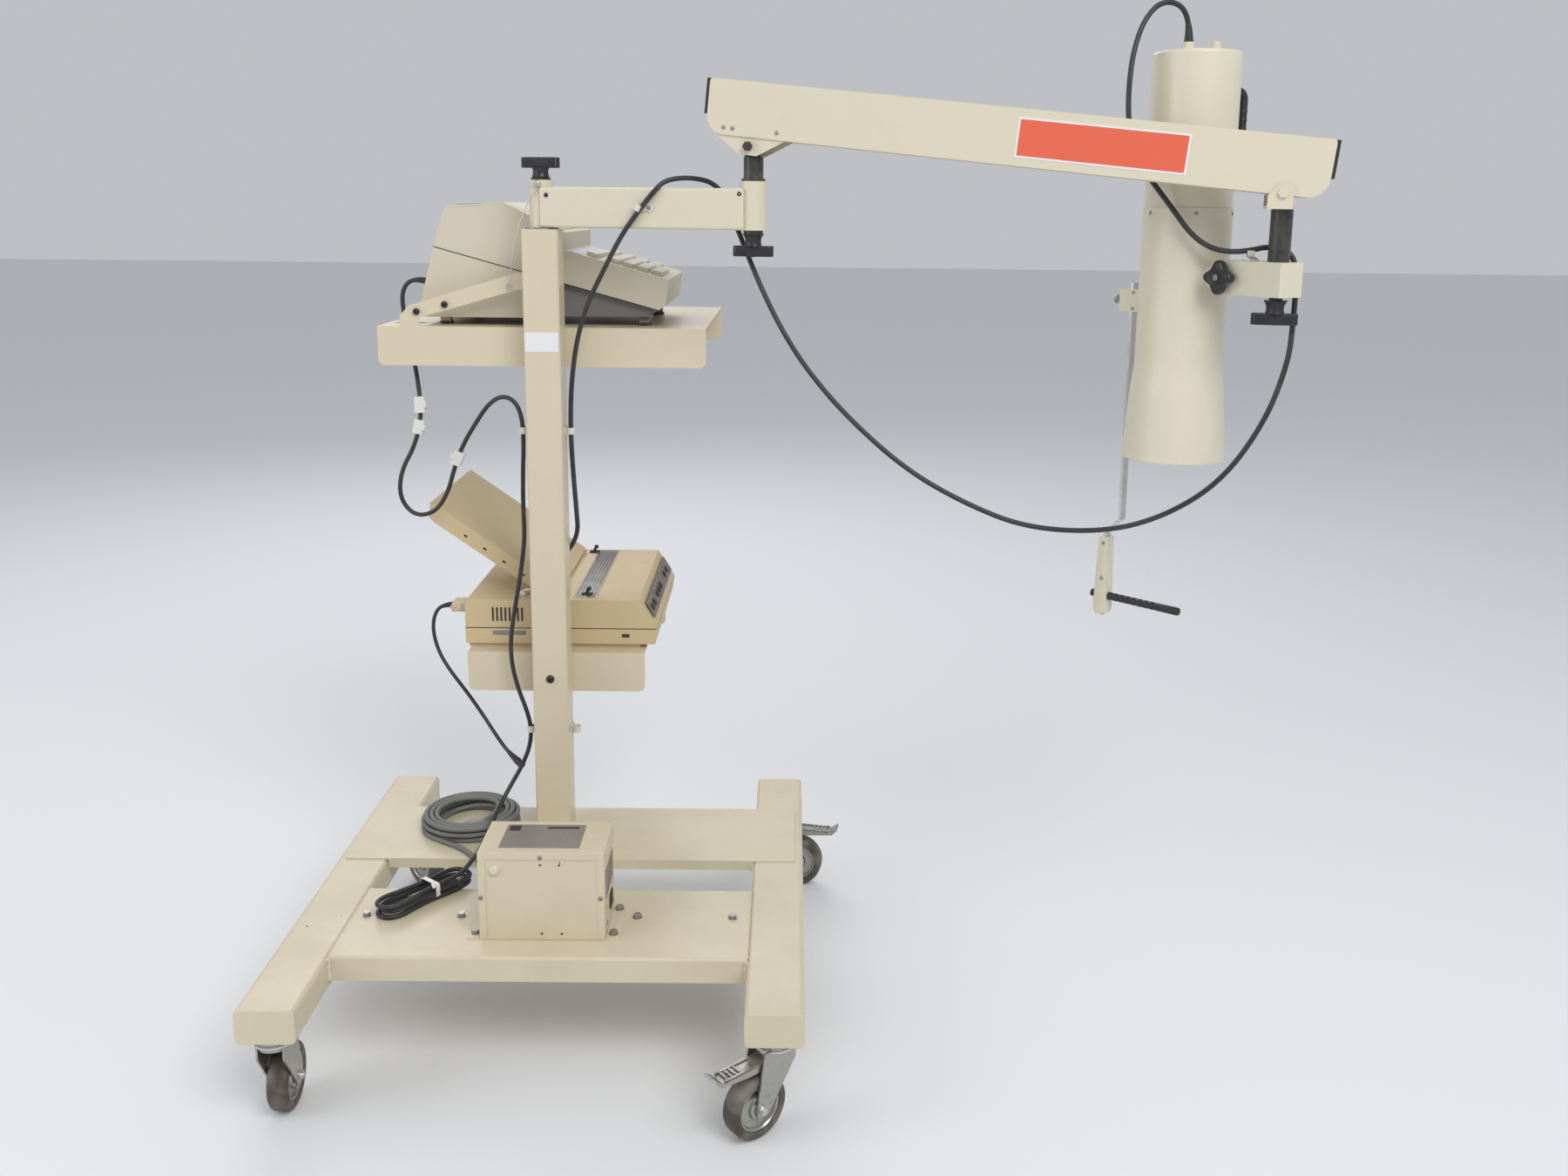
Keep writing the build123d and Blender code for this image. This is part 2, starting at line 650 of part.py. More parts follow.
# ---- lift arm -----------------------------------------------------------------------------------
# The cover's own frame: origin at the elbow pivot, local x along the cover.
elbow_pivot = arm_side.from_local_coords(Vector(arm_reach, elbow_pivot_z, 0))
cover_x = arm_side.x_dir * cos(radians(arm_droop)) + Vector(0, 0, 1) * sin(radians(arm_droop))
cover_side = Plane(origin=elbow_pivot, x_dir=cover_x, z_dir=arm_side.z_dir)
cover_up = cover_side.y_dir
end_pivot = cover_side.to_local_coords(arm_side.from_local_coords(Vector(end_pivot_reach, end_pivot_z, 0)))
cover_mid = (cover_length / 2 - cover_back, cover_rise + cover_height / 2)
cheek_in = cover_width / 2 - cover_sheet - cheek_t
with BuildPart() as lift_arm:
    with BuildSketch(cover_side.offset(-cover_width / 2)):
        with Locations(cover_mid):
            Rectangle(cover_length, cover_height)
    extrude(amount=cover_width)
    crosswise = lift_arm.edges().filter_by(Axis(elbow_pivot, cover_side.z_dir))
    fillet(crosswise.sort_by(Axis(elbow_pivot, cover_up))[:2], cover_corner)
    crosswise = lift_arm.edges().filter_by(Axis(elbow_pivot, cover_side.z_dir))
    fillet(crosswise.sort_by(Axis(elbow_pivot, cover_up))[-2:], cover_top_corner)
    with BuildSketch(cover_side.offset(-cover_width / 2 + cover_sheet)):
        with Locations((cover_mid[0], cover_mid[1] - cover_sheet)):
            Rectangle(cover_length + 2, cover_height)
    extrude(amount=cover_width - 2 * cover_sheet, mode=Mode.SUBTRACT)
    for inner in (cheek_in, -cheek_in - cheek_t):
        with BuildSketch(cover_side.offset(inner)):
            with BuildLine():
                Polyline((-58, cover_rise), (-46, cover_rise + 30), (40, cover_rise + 30),
                         (60, cover_rise), (14, -cheek_round), (-16, -cheek_round), close=True)
            make_face()
            with BuildLine():
                Polyline((end_pivot.X - 34, cover_rise + 30), (end_pivot.X + 22, cover_rise + 30),
                         (end_pivot.X + 12, end_pivot.Y), (end_pivot.X - 12, end_pivot.Y), close=True)
            make_face()
            with Locations((end_pivot.X, end_pivot.Y)):
                Circle(12)
        extrude(amount=cheek_t)
    with BuildSketch(cover_side.offset(-cover_width)):
        Circle(pivot_d / 2 + running_fit)
        with Locations((end_pivot.X, end_pivot.Y)):
            Circle(pivot_d / 2 + running_fit)
    extrude(amount=2 * cover_width, mode=Mode.SUBTRACT)
lift_arm.part.label = "lift_arm"
export_step(lift_arm.part, "parts/lift_arm.step")

# Black caps close the cover's two ends.
with BuildPart() as arm_caps:
    for end_x in (-cover_back - cap_t, cover_length - cover_back):
        with BuildSketch(cover_side.offset(-cover_width / 2)):
            with Locations((end_x + cap_t / 2, cover_mid[1] + cover_corner / 2)):
                Rectangle(cap_t, cover_height - cover_corner - 1)
        extrude(amount=cover_width)
arm_caps.part.label = "arm_caps"
export_step(arm_caps.part, "parts/arm_caps.step")

# Two bars beside the tongues keep the end post upright.
link_a = arm_side.from_local_coords(Vector(arm_reach, link_pivot_z, 0))
link_b = arm_side.from_local_coords(Vector(end_pivot_reach, end_link_z, 0))
link_side = Plane(origin=(link_a + link_b) * 0.5, x_dir=(link_b - link_a).normalized(), z_dir=arm_side.z_dir)
link_span = (link_b - link_a).length
with BuildPart() as parallel_link:
    for inner in (tongue_t / 2 + moving_gap, -tongue_t / 2 - moving_gap - link_t):
        with BuildSketch(link_side.offset(inner)):
            SlotCenterToCenter(link_span, link_width)
            with Locations((-link_span / 2, 0), (link_span / 2, 0)):
                Circle(link_pin_d / 2 + running_fit, mode=Mode.SUBTRACT)
        extrude(amount=link_t)
parallel_link.part.label = "parallel_link"
export_step(parallel_link.part, "parts/parallel_link.step")

# ---- end post -----------------------------------------------------------------------------------
# A clevis straddles the cover; its tongue meets the link, its post carries the yoke.
ear_in = cover_width / 2 + moving_gap
with BuildPart() as end_post:
    for inner in (ear_in, -ear_in - ear_t):
        with BuildSketch(arm_side.offset(inner)):
            with BuildLine():
                Polyline((end_pivot_reach - 22, end_post_top - 5), (end_pivot_reach - 22, end_pivot_z - 4),
                         (end_pivot_reach - 5, end_pivot_z + 13), (end_pivot_reach + 15, end_pivot_z + 11.5),
                         (end_pivot_reach + 15, end_post_top - 5), close=True)
            make_face()
        extrude(amount=ear_t)
    with BuildSketch(arm_plane.offset(end_post_top - 5)):
        with Locations((end_pivot_reach - 3.5, 0)):
            Rectangle(37, 2 * (ear_in + ear_t))
    extrude(amount=5)
    with BuildSketch(arm_side.offset(-tongue_t / 2)):
        with Locations((end_pivot_reach, (end_post_top - 4 + end_link_z) / 2)):
            Rectangle(20, end_link_z - end_post_top + 4)
        with Locations((end_pivot_reach, end_link_z)):
            Circle(10)
    extrude(amount=tongue_t)
    with BuildSketch(arm_side.offset(-ear_in - ear_t)):
        with Locations((end_pivot_reach, end_pivot_z)):
            Circle(pivot_d / 2)
    extrude(amount=2 * (ear_in + ear_t))
    with BuildSketch(arm_side.offset(-tongue_t / 2 - moving_gap - link_t)):
        with Locations((end_pivot_reach, end_link_z)):
            Circle(link_pin_d / 2)
    extrude(amount=tongue_t + 2 * (moving_gap + link_t))
    for start in (-ear_in - ear_t - 4, ear_in + ear_t):
        with BuildSketch(arm_side.offset(start)):
            with Locations((end_pivot_reach, end_pivot_z)):
                RegularPolygon(pivot_d * 0.7, 6)
        extrude(amount=4)
    with BuildSketch(arm_plane.offset(end_post_shoulder)):
        with Locations((end_reach, 0)):
            Circle(post_d / 2)
    extrude(amount=end_post_top - end_post_shoulder - 2)
    with BuildSketch(arm_plane.offset(yoke_bottom - 5)):
        with Locations((end_reach, 0)):
            Circle(spindle_d / 2)
    extrude(amount=end_post_shoulder - yoke_bottom + 6)
    with BuildSketch(arm_plane.offset(yoke_bottom - 5)):
        with Locations((end_reach, 0)):
            Circle(knob_stud_d / 2 + running_fit)
    extrude(amount=30, mode=Mode.SUBTRACT)
end_post.part.label = "end_post"
export_step(end_post.part, "parts/end_post.step")

# ---- yoke ---------------------------------------------------------------------------------------
yoke_mid_z = (yoke_bottom + yoke_top) / 2
clamp_face = yoke_width / 2
yoke_side = Plane(origin=end_post_at, x_dir=-yoke_dir, z_dir=yoke_dir.cross(Vector(0, 0, -1)))
with BuildPart() as yoke_box:
    with BuildSketch(yoke_plane.offset(yoke_bottom)):
        with Locations(((yoke_front - yoke_back) / 2, 0)):
            RectangleRounded(yoke_back + yoke_front, yoke_width, 3)
    extrude(amount=yoke_top - yoke_bottom)
    with BuildSketch(yoke_plane.offset(yoke_bottom)):
        Circle(spindle_d / 2 + running_fit)
    extrude(amount=yoke_top - yoke_bottom, mode=Mode.SUBTRACT)
    with BuildSketch(Plane(origin=end_post_at + yoke_dir * yoke_front + Vector(0, 0, yoke_mid_z),
                           z_dir=-yoke_dir)):
        Circle(trunnion_d / 2 + running_fit)
    extrude(amount=trunnion_depth + moving_gap, mode=Mode.SUBTRACT)
    with BuildSketch(yoke_side.offset(clamp_face)):
        with Locations((-lobed_knob_out, yoke_mid_z)):
            Circle(4 + running_fit)
    extrude(amount=-clamp_face + trunnion_d / 4, mode=Mode.SUBTRACT)
yoke_box.part.label = "yoke_box"
export_step(yoke_box.part, "parts/yoke_box.step")

# The four-lobed clamp knob locks the probe's tilt.
with BuildPart() as yoke_knob:
    with BuildSketch(yoke_side.offset(clamp_face + 4)):
        with Locations((-lobed_knob_out, yoke_mid_z)):
            Circle(lobed_knob_d * 0.30)
            with PolarLocations(lobed_knob_d * 0.36, 4, start_angle=45):
                Circle(lobed_knob_d * 0.14)
            with PolarLocations(lobed_knob_d * 0.2, 4, start_angle=45):
                Circle(lobed_knob_d * 0.19)
    extrude(amount=lobed_knob_t)
    with BuildSketch(yoke_side.offset(clamp_face + moving_gap)):
        with Locations((-lobed_knob_out, yoke_mid_z)):
            Circle(12)
    extrude(amount=5)
    with BuildSketch(yoke_side.offset(clamp_face + 5)):
        with Locations((-lobed_knob_out, yoke_mid_z)):
            Circle(4)
    extrude(amount=-clamp_face - 5 + trunnion_d / 2 + moving_gap)
yoke_knob.part.label = "yoke_knob"
export_step(yoke_knob.part, "parts/yoke_knob.step")

# ---- probe --------------------------------------------------------------------------------------
probe_section = Plane(origin=probe_at, x_dir=yoke_dir, z_dir=yoke_dir.cross(Vector(0, 0, 1)))
probe_axis = Axis(probe_at, (0, 0, 1))
detector_bottom = flare_z + 20
with BuildPart() as probe_body:
    with BuildSketch(probe_section):
        with BuildLine():
            Line((mouth_r, probe_mouth_z), (flare_mid_r, flare_mid_z))
            Spline((flare_mid_r, flare_mid_z), (probe_r, flare_z),
                   tangents=((flare_mid_r - mouth_r, flare_mid_z - probe_mouth_z), (0, 1)))
            Polyline((probe_r, flare_z), (probe_r, probe_seam_z), (probe_r - probe_wall, probe_seam_z),
                     (probe_r - probe_wall, flare_z), (mouth_r - probe_wall, probe_mouth_z),
                     (mouth_r, probe_mouth_z))
        make_face()
    revolve(axis=probe_axis)
    with BuildSketch(Plane(origin=probe_at + Vector(0, 0, yoke_mid_z), z_dir=-yoke_dir)):
        Circle(trunnion_d)
    extrude(amount=yoke_reach - yoke_front - moving_gap - 6)
    with BuildSketch(Plane(origin=probe_at + Vector(0, 0, yoke_mid_z), z_dir=-yoke_dir)):
        Circle(trunnion_d / 2)
    extrude(amount=yoke_reach - yoke_front + trunnion_depth - moving_gap)
    with BuildSketch(probe_plane.offset(gauge_clamp_z - 60)):
        Circle(probe_r - probe_wall)
    extrude(amount=200, mode=Mode.SUBTRACT)
probe_body.part.label = "probe_body"
export_step(probe_body.part, "parts/probe_body.step")

with BuildPart() as probe_cap:
    with BuildSketch(probe_plane.offset(probe_seam_z)):
        Circle(cap_r)
    extrude(amount=probe_top_z - probe_seam_z)
    fillet(probe_cap.edges().group_by(Axis.Z)[-1], 5)
    with BuildSketch(probe_plane.offset(probe_seam_z)):
        Circle(cap_r - probe_wall)
    extrude(amount=probe_top_z - probe_seam_z - probe_wall, mode=Mode.SUBTRACT)
    with BuildSketch(Plane.XY.offset(probe_top_z)):
        with Locations((probe_at.X + 30, probe_at.Y + 6)):
            Circle(7.5)
        with Locations((probe_at.X - 15, probe_at.Y + 4)):
            Circle(9)
    extrude(amount=16)
probe_cap.part.label = "probe_cap"
export_step(probe_cap.part, "parts/probe_cap.step")

# Lead shield with its round aperture, and the crystal's can above it.
with BuildPart() as detector:
    with BuildSketch(probe_plane.offset(detector_bottom)):
        Circle(probe_r - probe_wall)
        Circle(aperture_r, mode=Mode.SUBTRACT)
    extrude(amount=shield_height)
    with BuildSketch(probe_plane.offset(detector_bottom + shield_height)):
        Circle(aperture_r + 5)
    extrude(amount=crystal_t)
    with BuildSketch(probe_plane.offset(detector_bottom + shield_height + crystal_t)):
        Circle(can_d / 2)
        Circle(can_d / 2 - can_wall, mode=Mode.SUBTRACT)
    extrude(amount=can_height)
detector.part.label = "detector"
export_step(detector.part, "parts/detector.step")

handle_side = Plane(origin=probe_at, x_dir=handle_dir, z_dir=handle_dir.cross(Vector(0, 0, 1)))
handle_in = cap_r - 0.5
with BuildPart() as probe_handle:
    with BuildLine(handle_side) as handle_path:
        FilletPolyline((handle_in, handle_z), (handle_in + handle_out, handle_z),
                       (handle_in + handle_out, handle_z + handle_span), (handle_in, handle_z + handle_span),
                       radius=14)
    with BuildSketch(Plane(origin=handle_path.line @ 0, z_dir=handle_path.line % 0)):
        Circle(handle_d / 2)
    sweep()
    with BuildSketch(probe_plane.offset(handle_z - handle_d)):
        Circle(cap_r)
    extrude(amount=handle_span + 2 * handle_d, mode=Mode.SUBTRACT)
probe_handle.part.label = "probe_handle"
export_step(probe_handle.part, "parts/probe_handle.step")

# ---- distance gauge -----------------------------------------------------------------------------
slot_gap = 0.3
with BuildPart() as gauge_clamp:
    with BuildSketch(gauge_plane.offset(gauge_clamp_z)):
        with Locations(((probe_r + gauge_out + 22) / 2 - 4, 0)):
            RectangleRounded(gauge_out + 30 - probe_r, gauge_clamp_w, 5)
        with Locations((gauge_out, 0)):
            Rectangle(gauge_strip_t + 2 * slot_gap, gauge_strip_w + 2 * slot_gap, mode=Mode.SUBTRACT)
        Circle(probe_r, mode=Mode.SUBTRACT)
    extrude(amount=gauge_clamp_h)
gauge_clamp.part.label = "gauge_clamp"
export_step(gauge_clamp.part, "parts/gauge_clamp.step")

half_strip = gauge_strip_t / 2
grip_out = gauge_out + gauge_knee_out
with BuildPart() as gauge_bar:
    with BuildSketch(gauge_side.offset(-gauge_strip_w / 2)):
        with BuildLine():
            Polyline((gauge_out - half_strip, gauge_top), (gauge_out - half_strip, gauge_knee),
                     (grip_out - half_strip, gauge_knee - 28), (grip_out - half_strip, gauge_grip_top - 60),
                     (grip_out + half_strip, gauge_grip_top - 60), (grip_out + half_strip, gauge_knee - 27),
                     (gauge_out + half_strip, gauge_knee + 1), (gauge_out + half_strip, gauge_top),
                     close=True)
        make_face()
    extrude(amount=gauge_strip_w)
gauge_bar.part.label = "gauge_bar"
export_step(gauge_bar.part, "parts/gauge_bar.step")

# The tapered grip is bored for the spacer rod that touches the patient.
with BuildPart() as grip:
    with BuildSketch(gauge_side.offset(-11)):
        with BuildLine():
            Polyline((grip_out - 7, gauge_grip_top), (grip_out + 9, gauge_grip_top),
                     (grip_out + 16, gauge_grip_bottom + 14), (grip_out + 12, gauge_grip_bottom),
                     (grip_out - 6, gauge_grip_bottom), (grip_out - 10, gauge_grip_bottom + 10),
                     close=True)
        make_face()
    extrude(amount=22)
    with BuildSketch(gauge_plane.offset(gauge_grip_top)):
        with Locations((grip_out, 0)):
            Rectangle(gauge_strip_t, gauge_strip_w)
    extrude(amount=-60, mode=Mode.SUBTRACT)
    with BuildSketch(Plane(origin=probe_at + gauge_dir * (grip_out + 30) + Vector(0, 0, gauge_rod_z),
                           z_dir=-gauge_dir)):
        Circle(gauge_rod_d / 2)
    extrude(amount=60, mode=Mode.SUBTRACT)
with BuildPart() as rod:
    with BuildSketch(Plane(origin=probe_at + gauge_dir * (grip_out + 26) + Vector(0, 0, gauge_rod_z),
                           z_dir=-gauge_dir)):
        Circle(gauge_rod_d / 2)
    extrude(amount=gauge_rod_length)
    fillet(rod.edges(), 3)
gauge_grip = Compound(label="gauge_grip", children=[grip.part, rod.part])
export_step(gauge_grip, "parts/gauge_grip.step")

# ---- console ------------------------------------------------------------------------------------
seam = tan(radians(console_seam_slope))


def seam_z(x):
    """Height of the seam between the console's two halves."""
    return console_seam_left_z + seam * (x - console_left_x)


console_bottom = upper_shelf_top + console_foot_h
split_x = -20
hood_x = 27
key_face_rise = 60        # seam to the keys' face
with BuildPart() as console_base:
    with BuildSketch(Plane.XZ.offset(-console_near_y)):
        with BuildLine():
            Polyline((console_left_x, seam_z(console_left_x)), (-233, 1184), (-228, console_bottom),
                     (split_x, console_bottom), (split_x, seam_z(split_x)), close=True)
        make_face()
    extrude(amount=-console_width)
    with BuildSketch(Plane.XZ.offset(-console_near_y - 14)):
        with BuildLine():
            Polyline((split_x, seam_z(split_x)), (split_x, console_bottom + 3), (176, console_bottom + 3),
                     (176, seam_z(176)), close=True)
        make_face()
    extrude(amount=-console_width + 28)
    with BuildSketch(Plane.XY.offset(upper_shelf_top)):
        with Locations(*[(x, console_near_y + y) for x in (-196, 165) for y in (34, console_width - 34)]):
            Rectangle(18, 18)
    extrude(amount=console_foot_h + 4)
    with BuildSketch(Plane.XZ.offset(-console_near_y - 14 - console_wall)):
        with BuildLine():
            Polyline((console_left_x + 8, seam_z(console_left_x + 8) + 9),
                     (-220, console_bottom + console_wall + 2), (170, console_bottom + console_wall + 2),
                     (170, seam_z(170) + 9), close=True)
        make_face()
    extrude(amount=-console_width + 28 + 2 * console_wall, mode=Mode.SUBTRACT)
console_base.part.label = "console_base"
export_step(console_base.part, "parts/console_base.step")

keys_x = [key_first_x] + [key_first_x + key_gap + key_pitch * (i + 1) for i in range(4)]
face_slope = console_seam_slope
keys_plane = Plane(origin=(hood_x, key_y, seam_z(hood_x) + key_face_rise),
                   x_dir=(cos(radians(face_slope)), 0, sin(radians(face_slope))),
                   z_dir=(-sin(radians(face_slope)), 0, cos(radians(face_slope))))
with BuildPart() as console_cover:
    with BuildSketch(Plane.XZ.offset(-console_near_y)):
        with BuildLine():
            Polyline((console_left_x, seam_z(console_left_x)), (-188, 1343), (-181, 1353), (-123, 1355.5),
                     (-80, 1359), (-44, 1341), (hood_x, 1307), (hood_x, seam_z(hood_x) + key_face_rise),
                     (console_nose_x + 12, seam_z(console_nose_x + 12) + key_face_rise),
                     (console_nose_x + 6, seam_z(console_nose_x) + 10),
                     (console_nose_x - 6, seam_z(console_nose_x - 6)), close=True)
        make_face()
    extrude(amount=-console_width)
    with BuildSketch(Plane.XZ.offset(-console_near_y - console_wall)):
        with BuildLine():
            Polyline((console_left_x + 6, seam_z(console_left_x + 6) - 9), (-182, 1338), (-122, 1352),
                     (-80, 1355.5), (-45, 1337), (hood_x - 4, 1303),
                     (hood_x - 4, seam_z(hood_x) + key_face_rise - 4),
                     (console_nose_x + 4, seam_z(console_nose_x + 4) + key_face_rise - 4),
                     (console_nose_x - 12, seam_z(console_nose_x) - 9), close=True)
        make_face()
    extrude(amount=-console_width + 2 * console_wall, mode=Mode.SUBTRACT)
    with BuildSketch(keys_plane):
        with Locations(*[((x - hood_x) / cos(radians(face_slope)), 0) for x in keys_x]):
            Rectangle(key_size[0] + 2 * moving_gap, key_size[1] + 2 * moving_gap)
    extrude(amount=-key_travel - 9, mode=Mode.SUBTRACT)
console_cover.part.label = "console_cover"
export_step(console_cover.part, "parts/console_cover.step")

for number, key_x in enumerate(keys_x, start=1):
    with BuildPart() as key:
        with BuildSketch(keys_plane.offset(-key_travel - 5)):
            with Locations(((key_x - hood_x) / cos(radians(face_slope)), 0)):
                RectangleRounded(key_size[0], key_size[1], 2)
        extrude(amount=key_travel + 5 + key_height)
        fillet(key.faces().sort_by(Axis.Z)[-1].edges(), 1.2)
    key.part.label = f"key_{number}"
    export_step(key.part, f"parts/key_{number}.step")

# ---- printer ------------------------------------------------------------------------------------
printer_bottom = lower_shelf_top + printer_foot_h
printer_top = lower_shelf_top + printer_height
with BuildPart() as printer_case:
    with BuildSketch(Plane.XZ.offset(-printer_near_y)):
        with BuildLine():
            Polyline((printer_left_x, printer_bottom - 6), (printer_left_x, printer_top - 5),
                     (printer_left_x + 5, printer_top), (printer_right_x - 34, printer_top),
                     (printer_right_x, printer_bottom + printer_seam_h), (printer_right_x - 4, printer_bottom - 6),
                     close=True)
        make_face()
    extrude(amount=-printer_width)
    with BuildSketch(Plane.XY.offset(lower_shelf_top)):
        with Locations(((printer_left_x + printer_right_x) / 2 - 14, printer_near_y + printer_width / 2)):
            Rectangle(printer_right_x - printer_left_x - 38, printer_width - 12)
    extrude(amount=printer_foot_h)
    with BuildSketch(Plane.XY.offset(printer_top)):
        with Locations((56, printer_near_y + printer_width / 2)):
            Rectangle(32, printer_width - 34)
    extrude(amount=-30, mode=Mode.SUBTRACT)
    with BuildSketch(Plane.XY.offset(lower_shelf_top + printer_wall)):
        with Locations(((printer_left_x + printer_right_x) / 2 - 14, printer_near_y + printer_width / 2)):
            Rectangle(printer_right_x - printer_left_x - 48, printer_width - 20)
    extrude(amount=printer_height - 2 * printer_wall, mode=Mode.SUBTRACT)
with BuildPart() as data_plug:
    with BuildSketch(Plane.YZ.offset(printer_left_x)):
        with Locations((data_plug_y, data_plug_z)):
            RectangleRounded(44, 17, 4)
    extrude(amount=-data_plug_length)
printer_body = Compound(label="printer_body", children=[printer_case.part, data_plug.part])
export_step(printer_body, "parts/printer_body.step")

# The paper tray hinges on two round lugs over the printer's paper slot and leans back.
tray_side = Plane(origin=(tray_hinge_x, tray_near_y, tray_hinge_z),
                  x_dir=(cos(radians(tray_slope)), 0, sin(radians(tray_slope))), z_dir=(0, -1, 0))
with BuildPart() as paper_tray:
    with BuildSketch(tray_side):
        Rectangle(tray_length, tray_sheet, align=(Align.MIN, Align.MAX))
    extrude(amount=-tray_width)
    for near in (0, -tray_width + tray_sheet):
        with BuildSketch(tray_side.offset(near)):
            with BuildLine():
                Polyline((tray_flange_start, 0), (tray_length, 0), (tray_length - 12, tray_flange * 0.9),
                         (tray_length - 22, tray_flange), (tray_flange_start + 16, tray_flange), close=True)
            make_face()
        extrude(amount=-tray_sheet)
    for near in (24, tray_width - 24):
        with BuildSketch(tray_side.offset(-near)):
            Circle(tray_hinge_z - printer_top - moving_gap)
        extrude(amount=-4)
paper_tray.part.label = "paper_tray"
export_step(paper_tray.part, "parts/paper_tray.step")

# ---- transformer box ----------------------------------------------------------------------------
box_mid = (box_left_x + box_width / 2, box_front_y + box_depth / 2)
with BuildPart() as box_case:
    with BuildSketch(Plane.XY.offset(rail_top + box_sheet)):
        with Locations(box_mid):
            Rectangle(box_width, box_depth)
    extrude(amount=box_height - box_sheet)
    chamfer(box_case.faces().sort_by(Axis.Z)[-1].edges(), 1)
    with BuildSketch(Plane.XY.offset(rail_top + box_sheet)):
        with Locations(box_mid):
            Rectangle(box_width - 2 * box_sheet, box_depth - 2 * box_sheet)
    extrude(amount=box_height - 2 * box_sheet, mode=Mode.SUBTRACT)
with BuildPart() as box_chassis:
    with BuildSketch(Plane.XY.offset(rail_top)):
        with Locations(box_mid):
            Rectangle(box_width + 2 * box_flange, box_depth)
    extrude(amount=box_sheet)
    with BuildSketch(Plane.XY.offset(rail_top + box_sheet)):
        with Locations(box_mid):
            Rectangle(90, 75)
    extrude(amount=80)
transformer_box = Compound(label="transformer_box", children=[box_case.part, box_chassis.part])
export_step(transformer_box, "parts/transformer_box.step")

# ---- cords --------------------------------------------------------------------------------------
# Each route's points are chosen by hand. Two cords that continue each other meet within a straight run.
lead_points = [
    (1065.3, -130.8, 1622), (1065.3, -130.8, 1652), (1048, -136, 1680), (1014, -146, 1682),
    (986, -160, 1654), (968, -176, 1608), (960, -188, 1556), (961, -190, 1498), (972, -195, 1442),
    (1004, -205, 1398), (1035, -214, 1358), (1061, -223, 1322), (1089, -236, 1300), (1119, -248, 1294),
    (1148, -254, 1297), (1174, -262, 1304), (1206, -271, 1297), (1216.5, -275.5, 1266),
    (1216.5, -275.5, 1222),
]
swag_points = [
    (1216.5, -275.5, 1222), (1216.5, -275.5, 1180), (1210, -284, 1124), (1180, -290, 1034),
    (1122, -280, 936), (1043, -260, 874), (951, -237, 840), (828, -206, 838), (729, -182, 872),
    (628, -157, 925), (530, -128, 1008), (462, -108, 1084), (418, -94, 1150), (384, -78, 1216),
    (356, -62, 1280), (336, -50, 1330),
]
column_points = [
    (336, -50, 1330), (318, -39.2, 1375), (296, -36, 1396), (268, -50, 1402), (242, -62, 1402),
    (218, -75, 1396), (203, -84, 1380), (176, -77.2, 1348), (144, -69.2, 1304), (114, -54, 1250),
    (82, -32, 1192), (58, -10, 1126), (45, -1, 1044), (42, 0, 961), (45, 3, 880), (48, 14, 806),
    (47, 31, 772), (36, 44, 744), (19, 47, 722), (7, 46, 700), (4, 46, 674),
]
mains_points = [
    (-224.7, 112, 1215), (-254.6, 112, 1223.1), (-278, 111, 1202), (-276, 108, 1158), (-262, 100, 1100),
    (-248, 84, 1036), (-240, 70, 976), (-252, 62, 922), (-279, 58, 874), (-284, 57, 824), (-258, 57, 790),
    (-220, 57, 796), (-194, 56, 834), (-180, 54, 882), (-160, 46, 928), (-134, 36, 968), (-108, 22, 1004),
    (-80, 10, 1022), (-54, 2, 1012), (-43, 0, 980), (-42, 0, 936), (-45, 0, 880), (-46, 0, 820),
    (-45, 1, 762), (-54, 2, 700), (-66, 4, 636), (-76, 4, 580), (-77, 4, 530), (-66, 2, 480),
    (-50, 1, 436), (-42, 0, 401), (-46, 0, 364), (-62, -4, 326), (-82, -18, 292), (-97, -50, 264),
    (-102, -96, 251), (-104, -140, 243), (-109, -178, 236), (-117.6, -203, 230),
]
data_points = [
    (-206, 120, 603), (-230, 120, 603), (-245, 118, 583), (-248, 115, 550), (-236, 109, 510),
    (-214, 102, 476), (-189, 92, 448), (-163, 77, 420), (-138, 60, 392), (-114, 40, 366), (-92, 22, 346),
    (-74, 8, 336),
]
tail_points = [
    (-150, -94, 212), (-134, -132, 212), (-108, -176, 213), (-76, -212, 218), (-44, -240, 228),
    (-22, -268, 238), (-22, -297, 238),
]


def report_cord(name, points, diameter, part):
    """Prints a cord's length, bends and how its volume compares with its section times its length."""
    radii = bend_radii(points)
    length = FilletPolyline(*points, radius=radii).length
    ratio = part.volume / (length * pi * diameter**2 / 4)
    print(f"{name}: length {length:.0f}, radii {[round(r) for r in radii]},", end=" ")
    print(f"smallest {min(radii) / diameter:.1f} diameters, volume ratio {ratio:.4f}")


for name, points, diameter in (
    ("probe_lead", lead_points, lead_d),
    ("swag_cord", swag_points, lead_d),
    ("column_cord", column_points, lead_d),
    ("mains_cord", mains_points, mains_d),
    ("data_cord", data_points, data_d),
):
    with BuildPart() as cord:
        with BuildLine() as path:
            FilletPolyline(*points, radius=bend_radii(points))
        with BuildSketch(Plane(origin=path.line @ 0, z_dir=path.line % 0)):
            Circle(diameter / 2)
        sweep()
    report_cord(name, points, diameter, cord.part)
    cord.part.label = name
    export_step(cord.part, f"parts/{name}.step")

